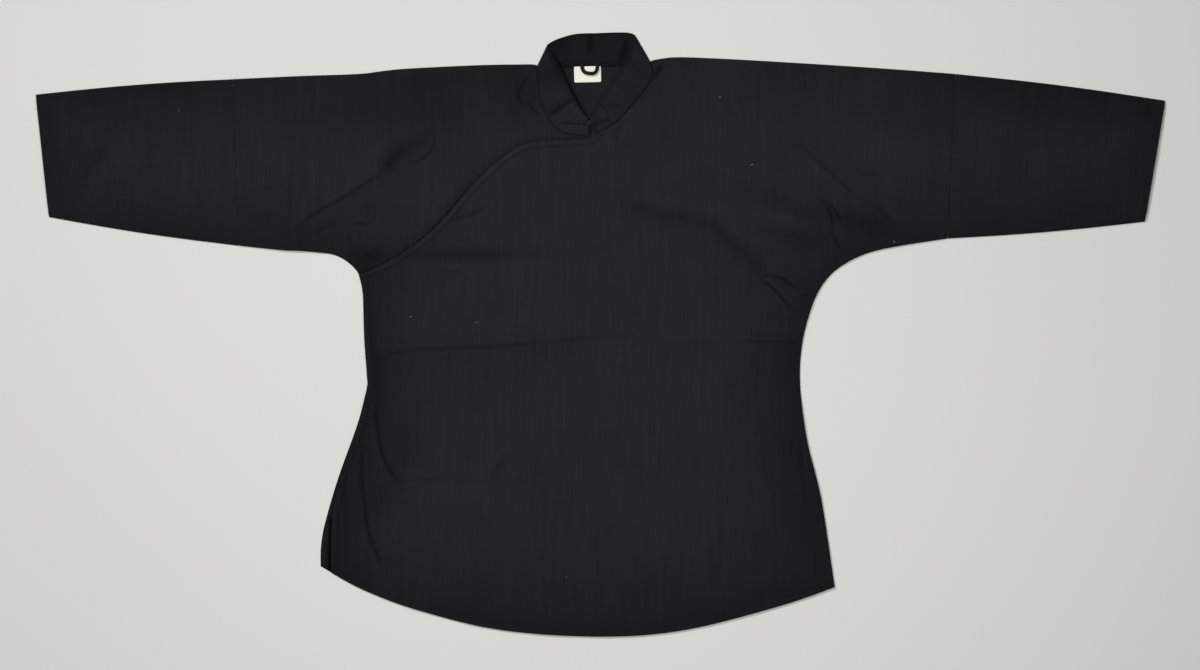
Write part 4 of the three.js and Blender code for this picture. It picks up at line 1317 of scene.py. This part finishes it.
def label_outline():
    """A rectangle with rounded corners, turned a little."""
    half = np.array([LABEL["width"], LABEL["height"]]) / 2 - LABEL["corner"]
    points = []
    for corner, sign in enumerate(((1, 1), (-1, 1), (-1, -1), (1, -1))):
        for angle in np.radians(90 * corner + np.linspace(0, 90, 7)):
            points.append(half * sign + LABEL["corner"] * np.array([math.cos(angle), math.sin(angle)]))
    points = np.array([*points, points[0]])
    steps = np.concatenate([[0], np.cumsum(np.linalg.norm(np.diff(points, axis=0), axis=1))])
    places = np.linspace(0, steps[-1], 150)
    points = np.column_stack([np.interp(places, steps, points[:, k]) for k in (0, 1)])
    c, s = math.cos(LABEL["turn"]), math.sin(LABEL["turn"])
    return points @ np.array([[c, s], [-s, c]]) + np.array(LABEL["middle"])


def label_height(points):
    x, y = (points - np.array(LABEL["middle"])).T
    curl = 0.35 * (x / 18) ** 2 + 0.25 * (y / 11) ** 2
    return 1.75 + curl + 0.12 * np.sin(points[:, 0] / 3.1) * np.sin(points[:, 1] / 4.7)


label_tape = panel("neck_label_tape", [label_outline()], label_height, MATERIAL["tape"], 0.9, wall=0.35)
label = standing_for(label_tape, "neck_label")

# --- Sewing -----------------------------------------------------------------


def inset_line(edge, distance, outline):
    """A line inside an outline, at a distance from one of its edges."""
    line = edge + left_of(edge) * distance
    if not is_inside(line[len(line) // 2][None], outline)[0]:
        line = edge - left_of(edge) * distance
    return line[is_inside(line, outline)]


def riding(piece):
    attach(piece, "root")
    return piece


def sewn(name, edge, distance, outline, surface):
    """A row of stitches along an edge of a piece, at a distance inside it."""
    return riding(stitches(name, inset_line(edge, distance, outline), surface, MATERIAL["thread"]))


def top_of(obj):
    """The height of a piece's upper face over the plan."""
    tree = BVHTree.FromPolygons([v.co for v in obj.data.vertices], [p.vertices for p in obj.data.polygons])

    def height(points):
        hits = [tree.ray_cast(Vector((x * MM, y * MM, 1)), Vector((0, 0, -1)))[0] for x, y in points]
        return np.array([hit.z / MM if hit else 2.0 for hit in hits])

    return height


def lint(surface):
    """Short curled fibres that lie on the cloth."""
    draw = np.random.default_rng(5)
    t = np.linspace(0, 1, 9)
    pieces = []
    for number, (x, y) in enumerate(LINT_PLACES):
        turn = draw.uniform(0, math.pi) + draw.uniform(-2, 2) * t
        steps = np.column_stack([np.cos(turn), np.sin(turn)]) * draw.uniform(2, 3.4) / len(t)
        plan = np.array([x, y]) + np.cumsum(steps, axis=0)
        line = np.column_stack([plan, surface(plan) + 0.2 + 0.25 * np.sin(t * math.pi)])
        pieces.append(sweep(f"lint_{number}", line, upward(len(t)), material=MATERIAL["lint"], **LINT_FIBRE))
    return riding(joined("lint_fibres", pieces))


outer_outline = np.vstack([e[:-1] for e in outer_edges])
closing_stitches = sewn("closing_stitches", closing_edge, FACING["width"], outer_outline, outer_surface)
hem_rows = [
    sewn(f"hem_stitches_{number}", edge, HEM["width"], outer_outline, outer_surface)
    for number, edge in enumerate(outer_hems)]
right_cuff_row, left_cuff_row = (
    sewn(f"{side}_cuff_stitches", cuff, CUFF_HEM["width"], outline, top_of(sleeve))
    for side, cuff, outline, sleeve in (
        ("right", right_cuff, right_outline, right_sleeve), ("left", left_cuff, left_outline, left_sleeve)))
fibres = lint(top_of(outer_front))

# --- Table, light and camera ------------------------------------------------

# Lights: name, place and aim in metres, width in metres and power in watts.
LIGHTS = [
    ("key", (-3.5, 3.85, 4.7), (0, 0, 0), 1.5, 265),
    ("overhead", (0.0, -0.05, 1.8), (0, -0.05, 0), 1.1, 16.3),
]
SKY = {"Color": (0.95, 0.97, 1.0, 1), "Strength": 0.09}


def lay_table(half_size=6.0):
    mesh = bpy.data.meshes.new("table")
    corners = [(x * half_size, y * half_size, 0) for x, y in ((-1, -1), (1, -1), (1, 1), (-1, 1))]
    mesh.from_pydata(corners, [], [(0, 1, 2, 3)])
    mesh.materials.append(table_top("pale table", TABLE))
    obj = bpy.data.objects.new("table", mesh)
    bpy.context.scene.collection.objects.link(obj)


def area_light(name, place_m, aim_m, size, power):
    light = bpy.data.lights.new(name, "AREA")
    light.shape = "DISK"
    light.size = size
    light.energy = power
    obj = bpy.data.objects.new(name, light)
    obj.location = place_m
    obj.rotation_euler = (Vector(aim_m) - Vector(place_m)).to_track_quat("-Z", "Y").to_euler()
    bpy.context.scene.collection.objects.link(obj)


def camera():
    data = bpy.data.cameras.new("camera")
    data.lens = CAMERA["lens"]
    data.sensor_width = CAMERA["sensor"]
    data.clip_end = 30
    obj = bpy.data.objects.new("camera", data)
    distance = CAMERA["view"] * CAMERA["lens"] / CAMERA["sensor"]
    obj.location = Vector((*CAMERA["aim"], distance)) * MM
    bpy.context.scene.collection.objects.link(obj)
    bpy.context.scene.camera = obj


lay_table()
for light in LIGHTS:
    area_light(*light)
world = bpy.data.worlds.new("studio")
world.use_nodes = True
for key, value in SKY.items():
    world.node_tree.nodes["Background"].inputs[key].default_value = value
bpy.context.scene.world = world
bpy.context.scene.view_settings.view_transform = "Standard"
camera()
